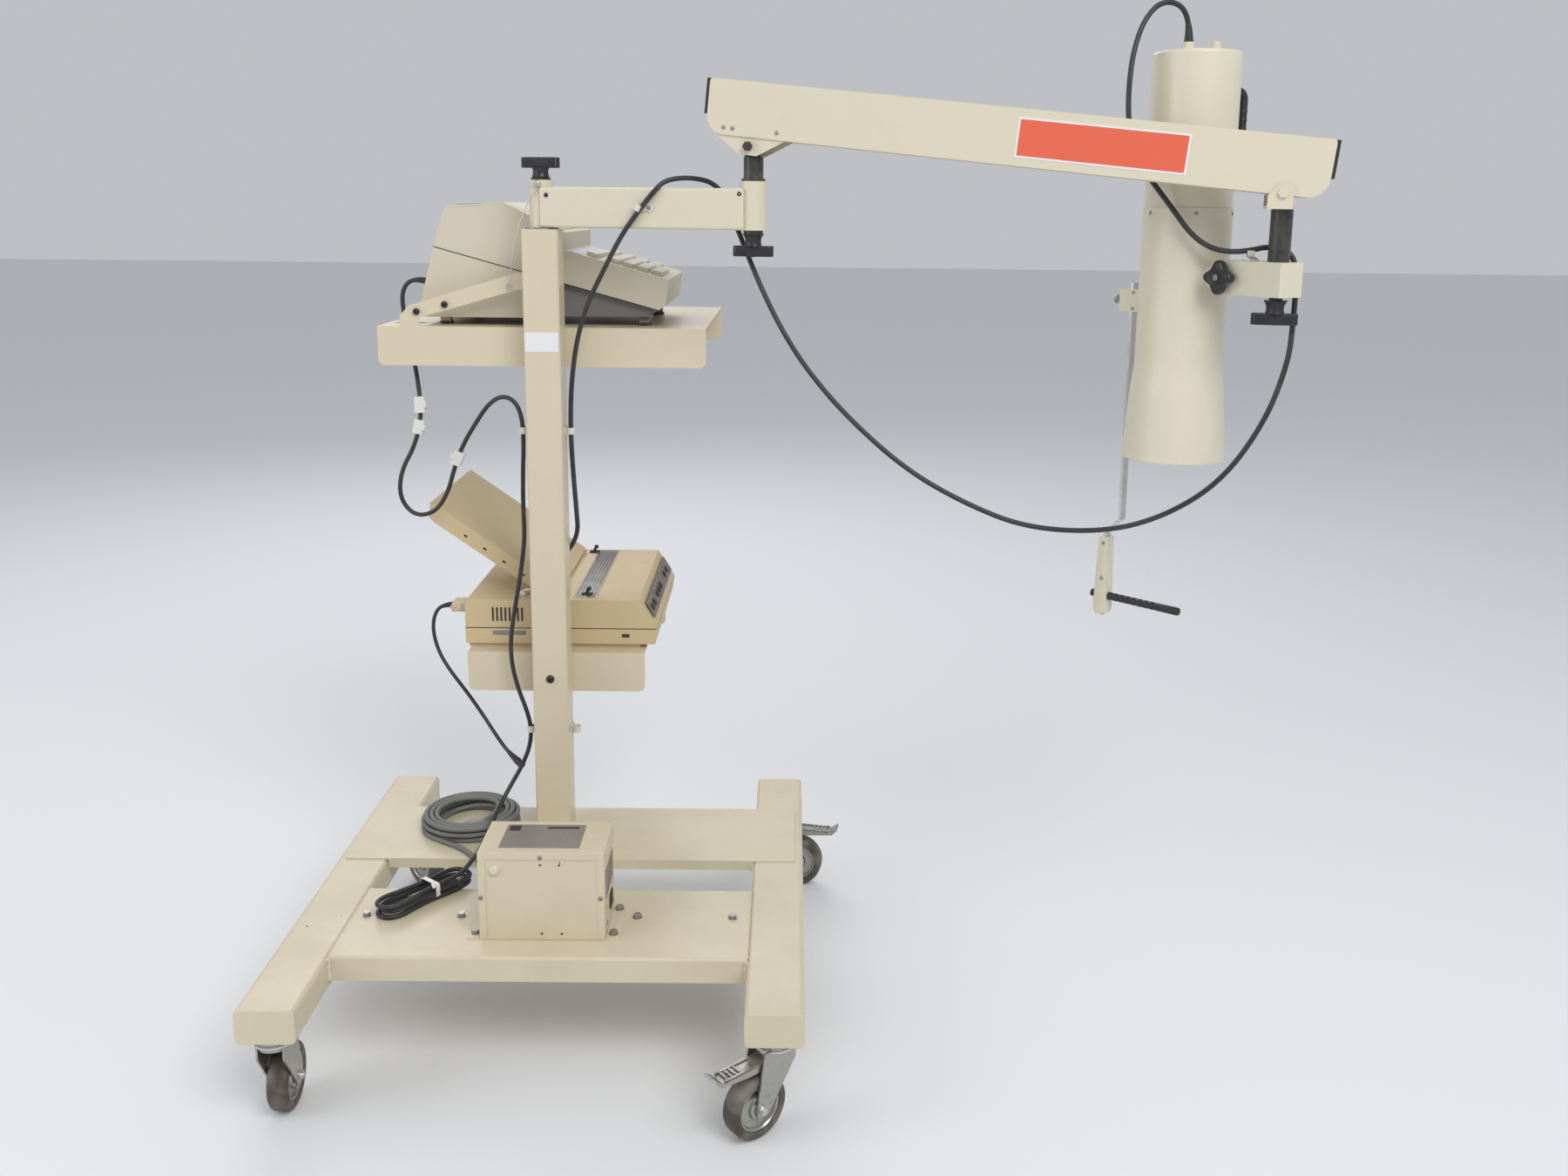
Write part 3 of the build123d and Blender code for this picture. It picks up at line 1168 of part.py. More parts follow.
# A coil of grey cable lies on the rear plate, and its tail runs into the transformer box.
with BuildPart() as coil:
    with BuildSketch(Plane.XY.offset(plate_top)):
        with Locations(coil_at):
            Circle(coil_outer_r)
            Circle(coil_inner_r, mode=Mode.SUBTRACT)
    extrude(amount=coil_height)
    fillet(coil.edges().group_by(Axis.Z)[-1], 12)
with BuildPart() as tail:
    with BuildLine() as path:
        FilletPolyline(*tail_points, radius=bend_radii(tail_points))
    with BuildSketch(Plane(origin=path.line @ 0, z_dir=path.line % 0)):
        Circle(coil_cable_d / 2)
    sweep()
report_cord("grey tail", tail_points, coil_cable_d, tail.part)
grey_coil = Compound(label="grey_coil", children=[coil.part, tail.part])
export_step(grey_coil, "parts/grey_coil.step")

# The spare length of the mains cord is folded into a tied hank on the front deck.
with BuildPart() as mains_hank:
    with BuildSketch(Plane(origin=(*hank_at, rail_top), x_dir=(-0.62, -0.785, 0), z_dir=(0, 0, 1))):
        SlotOverall(hank_length, hank_width)
    extrude(amount=hank_height)
    fillet(mains_hank.edges().group_by(Axis.Z)[-1], 6)
mains_hank.part.label = "mains_hank"
export_step(mains_hank.part, "parts/mains_hank.step")
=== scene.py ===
import json
from math import cos, pi, radians, sin

import bmesh
import bpy
from bpy.props import FloatProperty, FloatVectorProperty, PointerProperty
from mathutils import Matrix, Vector


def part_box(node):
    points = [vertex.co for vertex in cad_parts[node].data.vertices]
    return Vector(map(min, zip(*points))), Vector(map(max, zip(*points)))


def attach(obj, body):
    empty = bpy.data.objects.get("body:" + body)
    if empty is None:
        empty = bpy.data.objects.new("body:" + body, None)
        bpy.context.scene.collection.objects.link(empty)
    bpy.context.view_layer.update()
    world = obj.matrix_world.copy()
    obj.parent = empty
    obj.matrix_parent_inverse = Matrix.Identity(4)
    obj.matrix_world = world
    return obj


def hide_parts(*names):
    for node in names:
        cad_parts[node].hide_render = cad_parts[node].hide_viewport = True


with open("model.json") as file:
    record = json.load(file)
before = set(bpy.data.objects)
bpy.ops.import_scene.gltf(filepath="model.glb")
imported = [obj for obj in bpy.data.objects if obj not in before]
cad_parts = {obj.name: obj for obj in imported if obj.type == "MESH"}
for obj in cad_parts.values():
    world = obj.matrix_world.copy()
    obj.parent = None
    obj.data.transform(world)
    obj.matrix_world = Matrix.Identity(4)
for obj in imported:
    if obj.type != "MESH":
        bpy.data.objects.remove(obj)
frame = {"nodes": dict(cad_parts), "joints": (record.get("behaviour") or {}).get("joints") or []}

bl_info = {
    "name": "Uptake Probe Cart Dresser",
    "version": (1, 0, 0),
    "blender": (4, 5, 0),
    "location": "View3D > Sidebar > Uptake Cart",
    "description": "Finishes, cords, casters and fittings of a mobile uptake-counting cart",
    "category": "Object",
}

NODES = frame["nodes"]
JOINTS = {joint["name"]: joint for joint in frame["joints"]}
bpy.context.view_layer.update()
CORNERS = ("front_left", "front_right", "rear_left", "rear_right")
UP = Vector((0, 0, 1))

# Places that more than one piece uses, in metres.
ARM_TURN = radians(-14)
COVER_DROOP = radians(-5.8)
ELBOW_REACH = 0.3795
END_REACH = 1.216
COLLAR_TOP = 1.397
ELBOW_PIVOT_Z = 1.452
END_PIVOT = Vector((1.176387, -0.293306, 1.3852))
PROBE_AT = Vector((1.080255, -0.134744, 0))
YOKE_TURN = radians(122)
GAUGE_TURN = radians(135)
HANDLE_TURN = radians(25)
UPPER_SHELF = 1.141
LOWER_SHELF = 0.538
DECK_TOP = 0.204
PLATE_TOP = 0.207


# ---- sizes and colours a user may change --------------------------------------------------------
def colour(name, description, default):
    return FloatVectorProperty(name=name, description=description, subtype="COLOR", size=3,
                               min=0, max=1, default=default)


def length(name, description, default):
    return FloatProperty(name=name, description=description, default=default, min=0.0001, max=2,
                         subtype="DISTANCE", unit="LENGTH", precision=4)


def share(name, description, default):
    return FloatProperty(name=name, description=description, default=default, min=0, max=1,
                         subtype="FACTOR")


class CartFinishes(bpy.types.PropertyGroup):
    enamel: colour("Cart enamel", "Stoved enamel of the base, column and shelves", (0.66, 0.58, 0.42))
    arm: colour("Arm enamel", "Stoved enamel of the swing arm and lift arm", (0.68, 0.62, 0.475))
    probe: colour("Probe enamel", "Satin enamel of the probe's shell and yoke", (0.69, 0.635, 0.5))
    wear: share("Chips", "How much enamel has chipped off corners and edges", 0.35)
    grime: share("Grime", "How much dust and rubbed dirt lies low on the cart", 0.4)
    console: colour("Console shell", "Fine-textured off-white moulding", (0.62, 0.565, 0.445))
    # This colour is painted shade: it darkens the base's front under the sloping key face and the vent ribs on the
    # hood.
    console_base: colour("Console base with painted shade", "Darker recessed underside of the console", (0.2, 0.19, 0.18))
    console_stripe: colour("Console stripe", "Lavender-grey band beside the keys", (0.42, 0.42, 0.52))
    keycap: colour("Keycaps", "Large satin keys", (0.6, 0.56, 0.46))
    printer: colour("Printer shell", "Beige moulding, slightly yellowed", (0.6, 0.475, 0.28))
    printer_window: colour("Printer window", "Smoked cover over the print head", (0.12, 0.11, 0.1))
    printer_panel: colour("Printer panel", "Brown-grey control panel", (0.16, 0.13, 0.11))
    black: colour("Black mouldings", "Knobs, caps and handles", (0.018, 0.018, 0.02))
    steel_black: colour("Black steel", "Elbow post and end post", (0.022, 0.022, 0.025))
    zinc: colour("Zinc plate", "Caster forks, bolts and clips", (0.42, 0.42, 0.39))
    tyre: colour("Tyres", "Brown-grey rubber", (0.06, 0.047, 0.034))
    cord_black: colour("Dark cords", "Jacket of the probe, mains and signal cords", (0.022, 0.023, 0.026))
    cord_grey: colour("Grey cord", "Jacket of the coiled mains extension", (0.16, 0.163, 0.155))
    nylon: colour("Nylon", "Cord clips, clamps and ties", (0.68, 0.66, 0.6))
    label_orange: colour("Warning plate", "Blank orange-red plate on the lift arm", (0.78, 0.13, 0.065))
    label_grey: colour("Name plate", "Blank grey plate on the transformer box", (0.22, 0.2, 0.19))
    label_white: colour("White labels", "Blank paper labels", (0.78, 0.78, 0.8))
    floor: colour("Floor", "Plain pale floor of the stage", (0.78, 0.79, 0.8))


class CordSizes(bpy.types.PropertyGroup):
    probe_lead: length("Probe lead", "Diameter of the lead from the probe to the counter", 0.0085)
    mains: length("Mains cord", "Diameter of the console's mains cord", 0.008)
    data: length("Data cord", "Diameter of the printer's data cord", 0.007)
    extension: length("Extension cord", "Diameter of the grey coiled extension", 0.009)
    relief: length("Strain relief", "Length of a tapered strain relief", 0.03)


class FittingSizes(bpy.types.PropertyGroup):
    hub_dish: length("Hub dish", "Depth of the dish in a caster's wheel disc", 0.005)
    tyre_round: length("Tyre round", "Radius of a tyre's shoulders", 0.007)
    weld: length("Weld bead", "Width of the welds between tubes", 0.009)
    screw: length("Small screw", "Radius of a small screw's head", 0.0035)
    bead: length("Chain bead", "Diameter of a bead of the chain", 0.0035)
    keycap_dish: length("Keycap dish", "Depth of the dish in a keycap's top", 0.0009)


class StageSettings(bpy.types.PropertyGroup):
    lens: FloatProperty(name="Lens", description="Focal length on a 36 mm sensor, in millimetres",
                        default=32, min=10, max=200)
    key_power: FloatProperty(name="Key light", description="Power of the large soft light", default=135,
                             min=0, subtype="POWER", unit="POWER")
    fill_power: FloatProperty(name="Fill light", description="Power of the light from the left",
                              default=45, min=0, subtype="POWER", unit="POWER")
    back_power: FloatProperty(name="Back light", description="Power of the light from behind", default=55,
                              min=0, subtype="POWER", unit="POWER")
    sky: FloatProperty(name="Room light", description="Strength of the even light all round",
                       default=0.55, min=0, max=5)


def finishes():
    return bpy.context.scene.cart_finishes


def cords():
    return bpy.context.scene.cart_cords


def fittings():
    return bpy.context.scene.cart_fittings


# ---- places -------------------------------------------------------------------------------------
def frame_at(origin, z_axis, x_axis):
    """A local frame as a matrix: its z axis kept, its x axis squared up to it."""
    z = Vector(z_axis).normalized()
    x = Vector(x_axis)
    x = (x - z * x.dot(z)).normalized()
    y = z.cross(x)
    matrix = Matrix((x, y, z)).transposed().to_4x4()
    matrix.translation = Vector(origin)
    return matrix


ARM_X = Vector((cos(ARM_TURN), sin(ARM_TURN), 0))
ARM_Y = Vector((-sin(ARM_TURN), cos(ARM_TURN), 0))
COVER_X = ARM_X * cos(COVER_DROOP) + UP * sin(COVER_DROOP)
COVER_UP = UP * cos(COVER_DROOP) - ARM_X * sin(COVER_DROOP)
YOKE_X = Vector((cos(YOKE_TURN), sin(YOKE_TURN), 0))
YOKE_Y = Vector((-sin(YOKE_TURN), cos(YOKE_TURN), 0))
GAUGE_X = Vector((cos(GAUGE_TURN), sin(GAUGE_TURN), 0))
GAUGE_Y = Vector((-sin(GAUGE_TURN), cos(GAUGE_TURN), 0))
HANDLE_X = Vector((cos(HANDLE_TURN), sin(HANDLE_TURN), 0))
ELBOW_PIVOT = ARM_X * ELBOW_REACH + UP * ELBOW_PIVOT_Z


def on_arm(along, behind, z):
    """A point in the swing arm's own frame."""
    return ARM_X * along + ARM_Y * behind + UP * z


def on_cover(along, behind, rise):
    """A point in the lift arm cover's own frame, from the elbow pivot."""
    return ELBOW_PIVOT + COVER_X * along + ARM_Y * behind + COVER_UP * rise


# ---- shapes -------------------------------------------------------------------------------------
def turned(bm, profile, place, steps=32):
    """A lathe-turned form. Each row is radius, height and perhaps a rule from angle to radius factor."""
    rings = []
    for row in profile:
        radius, height = row[0], row[1]
        shape = row[2] if len(row) > 2 else None
        if radius == 0:
            rings.append([bm.verts.new(place @ Vector((0, 0, height)))])
            continue
        ring = []
        for k in range(steps):
            angle = 2 * pi * k / steps
            r = radius * (shape(angle) if shape else 1)
            ring.append(bm.verts.new(place @ Vector((r * cos(angle), r * sin(angle), height))))
        rings.append(ring)
    for low, high in zip(rings, rings[1:]):
        for k in range(steps):
            a, b = k, (k + 1) % steps
            corners = [low[a % len(low)], low[b % len(low)], high[b % len(high)], high[a % len(high)]]
            seen = []
            for corner in corners:
                if corner not in seen:
                    seen.append(corner)
            if len(seen) > 2:
                bm.faces.new(seen)


def hexagon(angle):
    """Radius factor that turns a round section into a hexagon."""
    return cos(pi / 6) / cos((angle % (pi / 3)) - pi / 6)


def four_lobes(angle):
    """Radius factor of a knob with four lobes."""
    return 0.8 + 0.2 * cos(4 * angle) if cos(4 * angle) > 0 else 0.8 + 0.13 * cos(4 * angle)


def prism(bm, outline, height, place, bevel=0.0, segments=2):
    """An outline in the local x-y plane raised along local z, with its edges rounded."""
    low = [bm.verts.new(place @ Vector((x, y, 0))) for x, y in outline]
    high = [bm.verts.new(place @ Vector((x, y, height))) for x, y in outline]
    made = [bm.faces.new(low[::-1]), bm.faces.new(high)]
    n = len(outline)
    for k in range(n):
        made.append(bm.faces.new((low[k], low[(k + 1) % n], high[(k + 1) % n], high[k])))
    if bevel:
        edges = {edge for face in made for edge in face.edges}
        bmesh.ops.bevel(bm, geom=list(edges), offset=bevel, segments=segments, profile=0.6,
                        affect="EDGES", clamp_overlap=True)


def block(bm, size, place, bevel=0.0005):
    """A block with rounded edges, centred on the frame's origin."""
    x, y, z = (side / 2 for side in size)
    prism(bm, ((-x, -y), (x, -y), (x, y), (-x, y)), 2 * z, place @ Matrix.Translation((0, 0, -z)), bevel)


def rounded_outline(width, depth, radius, steps=6):
    """A rectangle with rounded corners."""
    points = []
    for cx, cy, start in ((1, 1, 0), (-1, 1, 90), (-1, -1, 180), (1, -1, 270)):
        for k in range(steps + 1):
            angle = radians(start + 90 * k / steps)
            points.append((cx * (width / 2 - radius) + radius * cos(angle),
                           cy * (depth / 2 - radius) + radius * sin(angle)))
    return points


def swept(bm, points, radius, steps=10, flat=1.0, ripple=0.0):
    """A tube along a line of points, with closed ends; ripple swells it in even steps, like a weld."""
    points = [Vector(p) for p in points]
    rings = []
    side = None
    for k, point in enumerate(points):
        ahead = (points[min(k + 1, len(points) - 1)] - points[max(k - 1, 0)]).normalized()
        if side is None:
            side = ahead.orthogonal().normalized()
            if abs(ahead.z) < 0.9:
                side = ahead.cross(UP).normalized()
        side = (side - ahead * side.dot(ahead)).normalized()
        other = ahead.cross(side)
        r = radius(k) if callable(radius) else radius
        r *= 1 + ripple * (k % 2)
        rings.append([bm.verts.new(point + side * r * cos(2 * pi * s / steps)
                                   + other * r * flat * sin(2 * pi * s / steps)) for s in range(steps)])
    for low, high in zip(rings, rings[1:]):
        for s in range(steps):
            bm.faces.new((low[s], low[(s + 1) % steps], high[(s + 1) % steps], high[s]))
    bm.faces.new(rings[0][::-1])
    bm.faces.new(rings[-1])


def ribbon(bm, points, width, thickness, across):
    """A flat strip that follows points, its width along across."""
    points = [Vector(p) for p in points]
    across = Vector(across).normalized()
    rings = []
    for k, point in enumerate(points):
        ahead = (points[min(k + 1, len(points) - 1)] - points[max(k - 1, 0)]).normalized()
        out = ahead.cross(across).normalized()
        rings.append([bm.verts.new(point + across * width * a / 2 + out * thickness * b / 2)
                      for a, b in ((-1, -1), (1, -1), (1, 1), (-1, 1))])
    for low, high in zip(rings, rings[1:]):
        for s in range(4):
            bm.faces.new((low[s], low[(s + 1) % 4], high[(s + 1) % 4], high[s]))
    bm.faces.new(rings[0][::-1])
    bm.faces.new(rings[-1])


def button_screw(bm, at, out, radius, socket=True):
    """A domed screw head on a face, with a hexagon socket."""
    place = frame_at(at, out, Vector(out).orthogonal())
    rows = [(radius, 0), (radius, radius * 0.22), (radius * 0.9, radius * 0.42), (radius * 0.62, radius * 0.6)]
    if socket:
        rows += [(radius * 0.42, radius * 0.62, hexagon), (radius * 0.4, radius * 0.22, hexagon),
                 (0, radius * 0.16)]
    else:
        rows += [(0, radius * 0.68)]
    turned(bm, rows, place, 24)


def piece(name, bm, body, material, crease=32, replaces=()):
    """Makes the object of a mesh, smooth but for creases, and rides it on its body."""
    bmesh.ops.recalc_face_normals(bm, faces=bm.faces)
    for face in bm.faces:
        face.smooth = True
    for edge in bm.edges:
        edge.smooth = len(edge.link_faces) != 2 or edge.calc_face_angle(0) < radians(crease)
    mesh = bpy.data.meshes.new(name)
    bm.to_mesh(mesh)
    bm.free()
    obj = bpy.data.objects.new(name, mesh)
    bpy.context.scene.collection.objects.link(obj)
    mesh.materials.append(material)
    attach(obj, body)
    if replaces:
        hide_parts(*replaces)
    return obj


# ---- surface effects: shader node groups --------------------------------------------------------
class Nodes:
    """Short hand for building a node tree."""

    def __init__(self, tree):
        self.tree = tree

    def add(self, kind, **settings):
        node = self.tree.nodes.new(kind)
        for name, value in settings.items():
            setattr(node, name, value)
        return node

    def link(self, source, target):
        self.tree.links.new(source, target)

    def put(self, value, target):
        if isinstance(value, bpy.types.NodeSocket):
            self.link(value, target)
        else:
            target.default_value = value

    def maths(self, operation, a, b=0.0, clamp=False):
        node = self.add("ShaderNodeMath", operation=operation, use_clamp=clamp)
        self.put(a, node.inputs[0])
        self.put(b, node.inputs[1])
        return node.outputs[0]

    def noise(self, vector, scale, detail=3.0, roughness=0.5):
        node = self.add("ShaderNodeTexNoise")
        self.link(vector, node.inputs["Vector"])
        self.put(scale, node.inputs["Scale"])
        node.inputs["Detail"].default_value = detail
        node.inputs["Roughness"].default_value = roughness
        return node.outputs["Fac"]

    def ramp(self, value, low, high, start=0.0, end=1.0):
        node = self.add("ShaderNodeMapRange", clamp=True)
        self.link(value, node.inputs["Value"])
        for label, number in (("From Min", low), ("From Max", high), ("To Min", start), ("To Max", end)):
            self.put(number, node.inputs[label])
        return node.outputs["Result"]

    def mix(self, fac, a, b, blend="MIX"):
        node = self.add("ShaderNodeMix", data_type="RGBA", blend_type=blend)
        self.put(fac, node.inputs["Factor"])
        self.put(a, node.inputs[6])
        self.put(b, node.inputs[7])
        return node.outputs[2]


def new_group(name, inputs, outputs):
    """A shader node group with named sockets; returns it, its tree helper and its end nodes."""
    group = bpy.data.node_groups.new(name, "ShaderNodeTree")
    for label, kind, default in inputs:
        socket = group.interface.new_socket(name=label, in_out="INPUT", socket_type=kind)
        if default is not None:
            socket.default_value = default
    for label, kind in outputs:
        group.interface.new_socket(name=label, in_out="OUTPUT", socket_type=kind)
    tree = Nodes(group)
    return group, tree, tree.add("NodeGroupInput"), tree.add("NodeGroupOutput")


COLOUR, NUMBER, VECTOR = "NodeSocketColor", "NodeSocketFloat", "NodeSocketVector"


def enamel_group():
    """Stoved enamel: orange peel, faint mottling, chips to dark primer and grime low down."""
    group, tree, given, out = new_group(
        "Stoved enamel",
        (("Place", VECTOR, None), ("Paint", COLOUR, (0.8, 0.75, 0.6, 1)), ("Chips", NUMBER, 0.3),
         ("Grime", NUMBER, 0.4), ("Peel Scale", NUMBER, 260.0)),
        (("Colour", COLOUR), ("Roughness", NUMBER), ("Height", NUMBER), ("Bare", NUMBER)))
    place = given.outputs["Place"]
    cloud = tree.noise(place, 7.0, 3)
    mottle = tree.noise(place, 45.0, 4)
    peel = tree.noise(place, given.outputs["Peel Scale"], 2)
    speck = tree.noise(place, 55.0, 6, 0.68)
    patch = tree.noise(place, 4.5, 2)
    rare = tree.maths("MULTIPLY", speck, tree.ramp(patch, 0.42, 0.72, 0.8, 1.08))
    limit = tree.maths("SUBTRACT", 0.745, tree.maths("MULTIPLY", given.outputs["Chips"], 0.06))
    bare = tree.ramp(tree.maths("SUBTRACT", rare, limit), 0.0, 0.008)
    height = tree.add("ShaderNodeSeparateXYZ")
    tree.link(place, height.inputs[0])
    low = tree.ramp(height.outputs["Z"], 0.05, 0.6, 1.0, 0.12)
    dirt = tree.maths("MULTIPLY", tree.maths("MULTIPLY", tree.ramp(cloud, 0.4, 0.75), low),
                      given.outputs["Grime"])
    shade = tree.mix(tree.ramp(mottle, 0.3, 0.7, 0.0, 0.1), given.outputs["Paint"], (0.55, 0.49, 0.37, 1))
    dirty = tree.mix(tree.maths("MULTIPLY", dirt, 0.55), shade, (0.3, 0.25, 0.18, 1))
    tree.link(tree.mix(bare, dirty, (0.05, 0.042, 0.035, 1)), out.inputs["Colour"])
    gloss = tree.maths("ADD", tree.ramp(mottle, 0.3, 0.7, 0.3, 0.4), tree.maths("MULTIPLY", dirt, 0.3))
    tree.link(tree.maths("ADD", gloss, tree.maths("MULTIPLY", bare, 0.3), True), out.inputs["Roughness"])
    tree.link(tree.maths("SUBTRACT", peel, tree.maths("MULTIPLY", bare, 2.0)), out.inputs["Height"])
    tree.link(bare, out.inputs["Bare"])
    return group


def grain_group():
    """Fine moulded grain with a little yellowing and handling shine."""
    group, tree, given, out = new_group(
        "Moulded grain",
        (("Place", VECTOR, None), ("Plastic", COLOUR, (0.8, 0.8, 0.8, 1)), ("Grain Scale", NUMBER, 900.0),
         ("Yellowing", NUMBER, 0.2), ("Base Roughness", NUMBER, 0.55)),
        (("Colour", COLOUR), ("Roughness", NUMBER), ("Height", NUMBER)))
    place = given.outputs["Place"]
    cloud = tree.noise(place, 6.0, 3)
    grain = tree.noise(place, given.outputs["Grain Scale"], 2)
    smear = tree.noise(place, 22.0, 4)
    aged = tree.mix(tree.maths("MULTIPLY", tree.ramp(cloud, 0.35, 0.7), given.outputs["Yellowing"]),
                    given.outputs["Plastic"], (0.62, 0.47, 0.22, 1))
    tree.link(tree.mix(tree.ramp(grain, 0.35, 0.65, 0.0, 0.06), aged, (0.1, 0.09, 0.08, 1)),
              out.inputs["Colour"])
    tree.link(tree.maths("ADD", given.outputs["Base Roughness"], tree.ramp(smear, 0.35, 0.7, -0.08, 0.08)),
              out.inputs["Roughness"])
    tree.link(grain, out.inputs["Height"])
    return group


def metal_group():
    """Plated or machined metal: fine drawn lines, cloudy plate and dull spots."""
    group, tree, given, out = new_group(
        "Plated metal",
        (("Place", VECTOR, None), ("Metal", COLOUR, (0.6, 0.6, 0.6, 1)), ("Dulling", NUMBER, 0.3),
         ("Base Roughness", NUMBER, 0.3)),
        (("Colour", COLOUR), ("Roughness", NUMBER), ("Height", NUMBER)))
    place = given.outputs["Place"]
    stretch = tree.add("ShaderNodeMapping")
    tree.link(place, stretch.inputs["Vector"])
    stretch.inputs["Scale"].default_value = (60, 60, 900)
    lines = tree.noise(stretch.outputs[0], 2.0, 3)
    cloud = tree.noise(place, 38.0, 4)
    spots = tree.ramp(tree.noise(place, 120.0, 4), 0.6, 0.72)
    dull = tree.maths("MULTIPLY", spots, given.outputs["Dulling"])
    tinted = tree.mix(tree.ramp(cloud, 0.3, 0.7, 0.0, 0.35), given.outputs["Metal"], (0.42, 0.4, 0.36, 1))
    tree.link(tree.mix(dull, tinted, (0.16, 0.13, 0.1, 1)), out.inputs["Colour"])
    tree.link(tree.maths("ADD", tree.maths("ADD", given.outputs["Base Roughness"],
                                           tree.ramp(cloud, 0.3, 0.7, -0.06, 0.1)),
                         tree.maths("MULTIPLY", dull, 0.4), True), out.inputs["Roughness"])
    tree.link(lines, out.inputs["Height"])
    return group


def rubber_group():
    """Rubber or vinyl: bloom, scuffs and a faint texture."""
    group, tree, given, out = new_group(
        "Rubber skin",
        (("Place", VECTOR, None), ("Rubber", COLOUR, (0.05, 0.05, 0.05, 1)), ("Bloom", NUMBER, 0.2),
         ("Skin Scale", NUMBER, 300.0), ("Base Roughness", NUMBER, 0.5)),
        (("Colour", COLOUR), ("Roughness", NUMBER), ("Height", NUMBER)))
    place = given.outputs["Place"]
    cloud = tree.noise(place, 26.0, 4)
    scuff = tree.noise(place, 85.0, 5, 0.6)
    skin = tree.noise(place, given.outputs["Skin Scale"], 3)
    bloom = tree.maths("MULTIPLY", tree.ramp(cloud, 0.42, 0.72), given.outputs["Bloom"])
    pale = tree.mix(bloom, given.outputs["Rubber"], (0.4, 0.37, 0.34, 1))
    tree.link(tree.mix(tree.maths("MULTIPLY", tree.ramp(scuff, 0.6, 0.75), given.outputs["Bloom"]), pale,
                       (0.03, 0.028, 0.026, 1)), out.inputs["Colour"])
    tree.link(tree.maths("ADD", given.outputs["Base Roughness"], tree.ramp(cloud, 0.35, 0.7, -0.06, 0.12)),
              out.inputs["Roughness"])
    tree.link(skin, out.inputs["Height"])
    return group


GROUPS = {}


def effect(key):
    """The shared group of that kind, built when first asked for."""
    makers = {"enamel": enamel_group, "grain": grain_group, "metal": metal_group, "rubber": rubber_group}
    if key not in GROUPS:
        GROUPS[key] = makers[key]()
    return GROUPS[key]


def new_material(name, key, values, bump=0.1, distance=0.0002, metallic=0.0, coat=0.0, specular=0.5):
    """A material on a shared effect; returns it with its helper, shader and effect node."""
    material = bpy.data.materials.new(name)
    material.use_nodes = True
    tree = Nodes(material.node_tree)
    shader = next(node for node in material.node_tree.nodes if node.type == "BSDF_PRINCIPLED")
    place = tree.add("ShaderNodeTexCoord").outputs["Object"]
    group = tree.add("ShaderNodeGroup", node_tree=effect(key))
    tree.link(place, group.inputs["Place"])
    for label, value in values.items():
        group.inputs[label].default_value = value
    relief = tree.add("ShaderNodeBump")
    relief.inputs["Strength"].default_value = bump
    relief.inputs["Distance"].default_value = distance
    tree.link(group.outputs["Height"], relief.inputs["Height"])
    tree.link(relief.outputs["Normal"], shader.inputs["Normal"])
    tree.link(group.outputs["Colour"], shader.inputs["Base Color"])
    tree.link(group.outputs["Roughness"], shader.inputs["Roughness"])
    shader.inputs["Metallic"].default_value = metallic
    shader.inputs["Coat Weight"].default_value = coat
    shader.inputs["Coat Roughness"].default_value = 0.25
    shader.inputs["Specular IOR Level"].default_value = specular
    return material, tree, shader, group


def rgba(value):
    return (*value, 1)


MATERIALS = {}


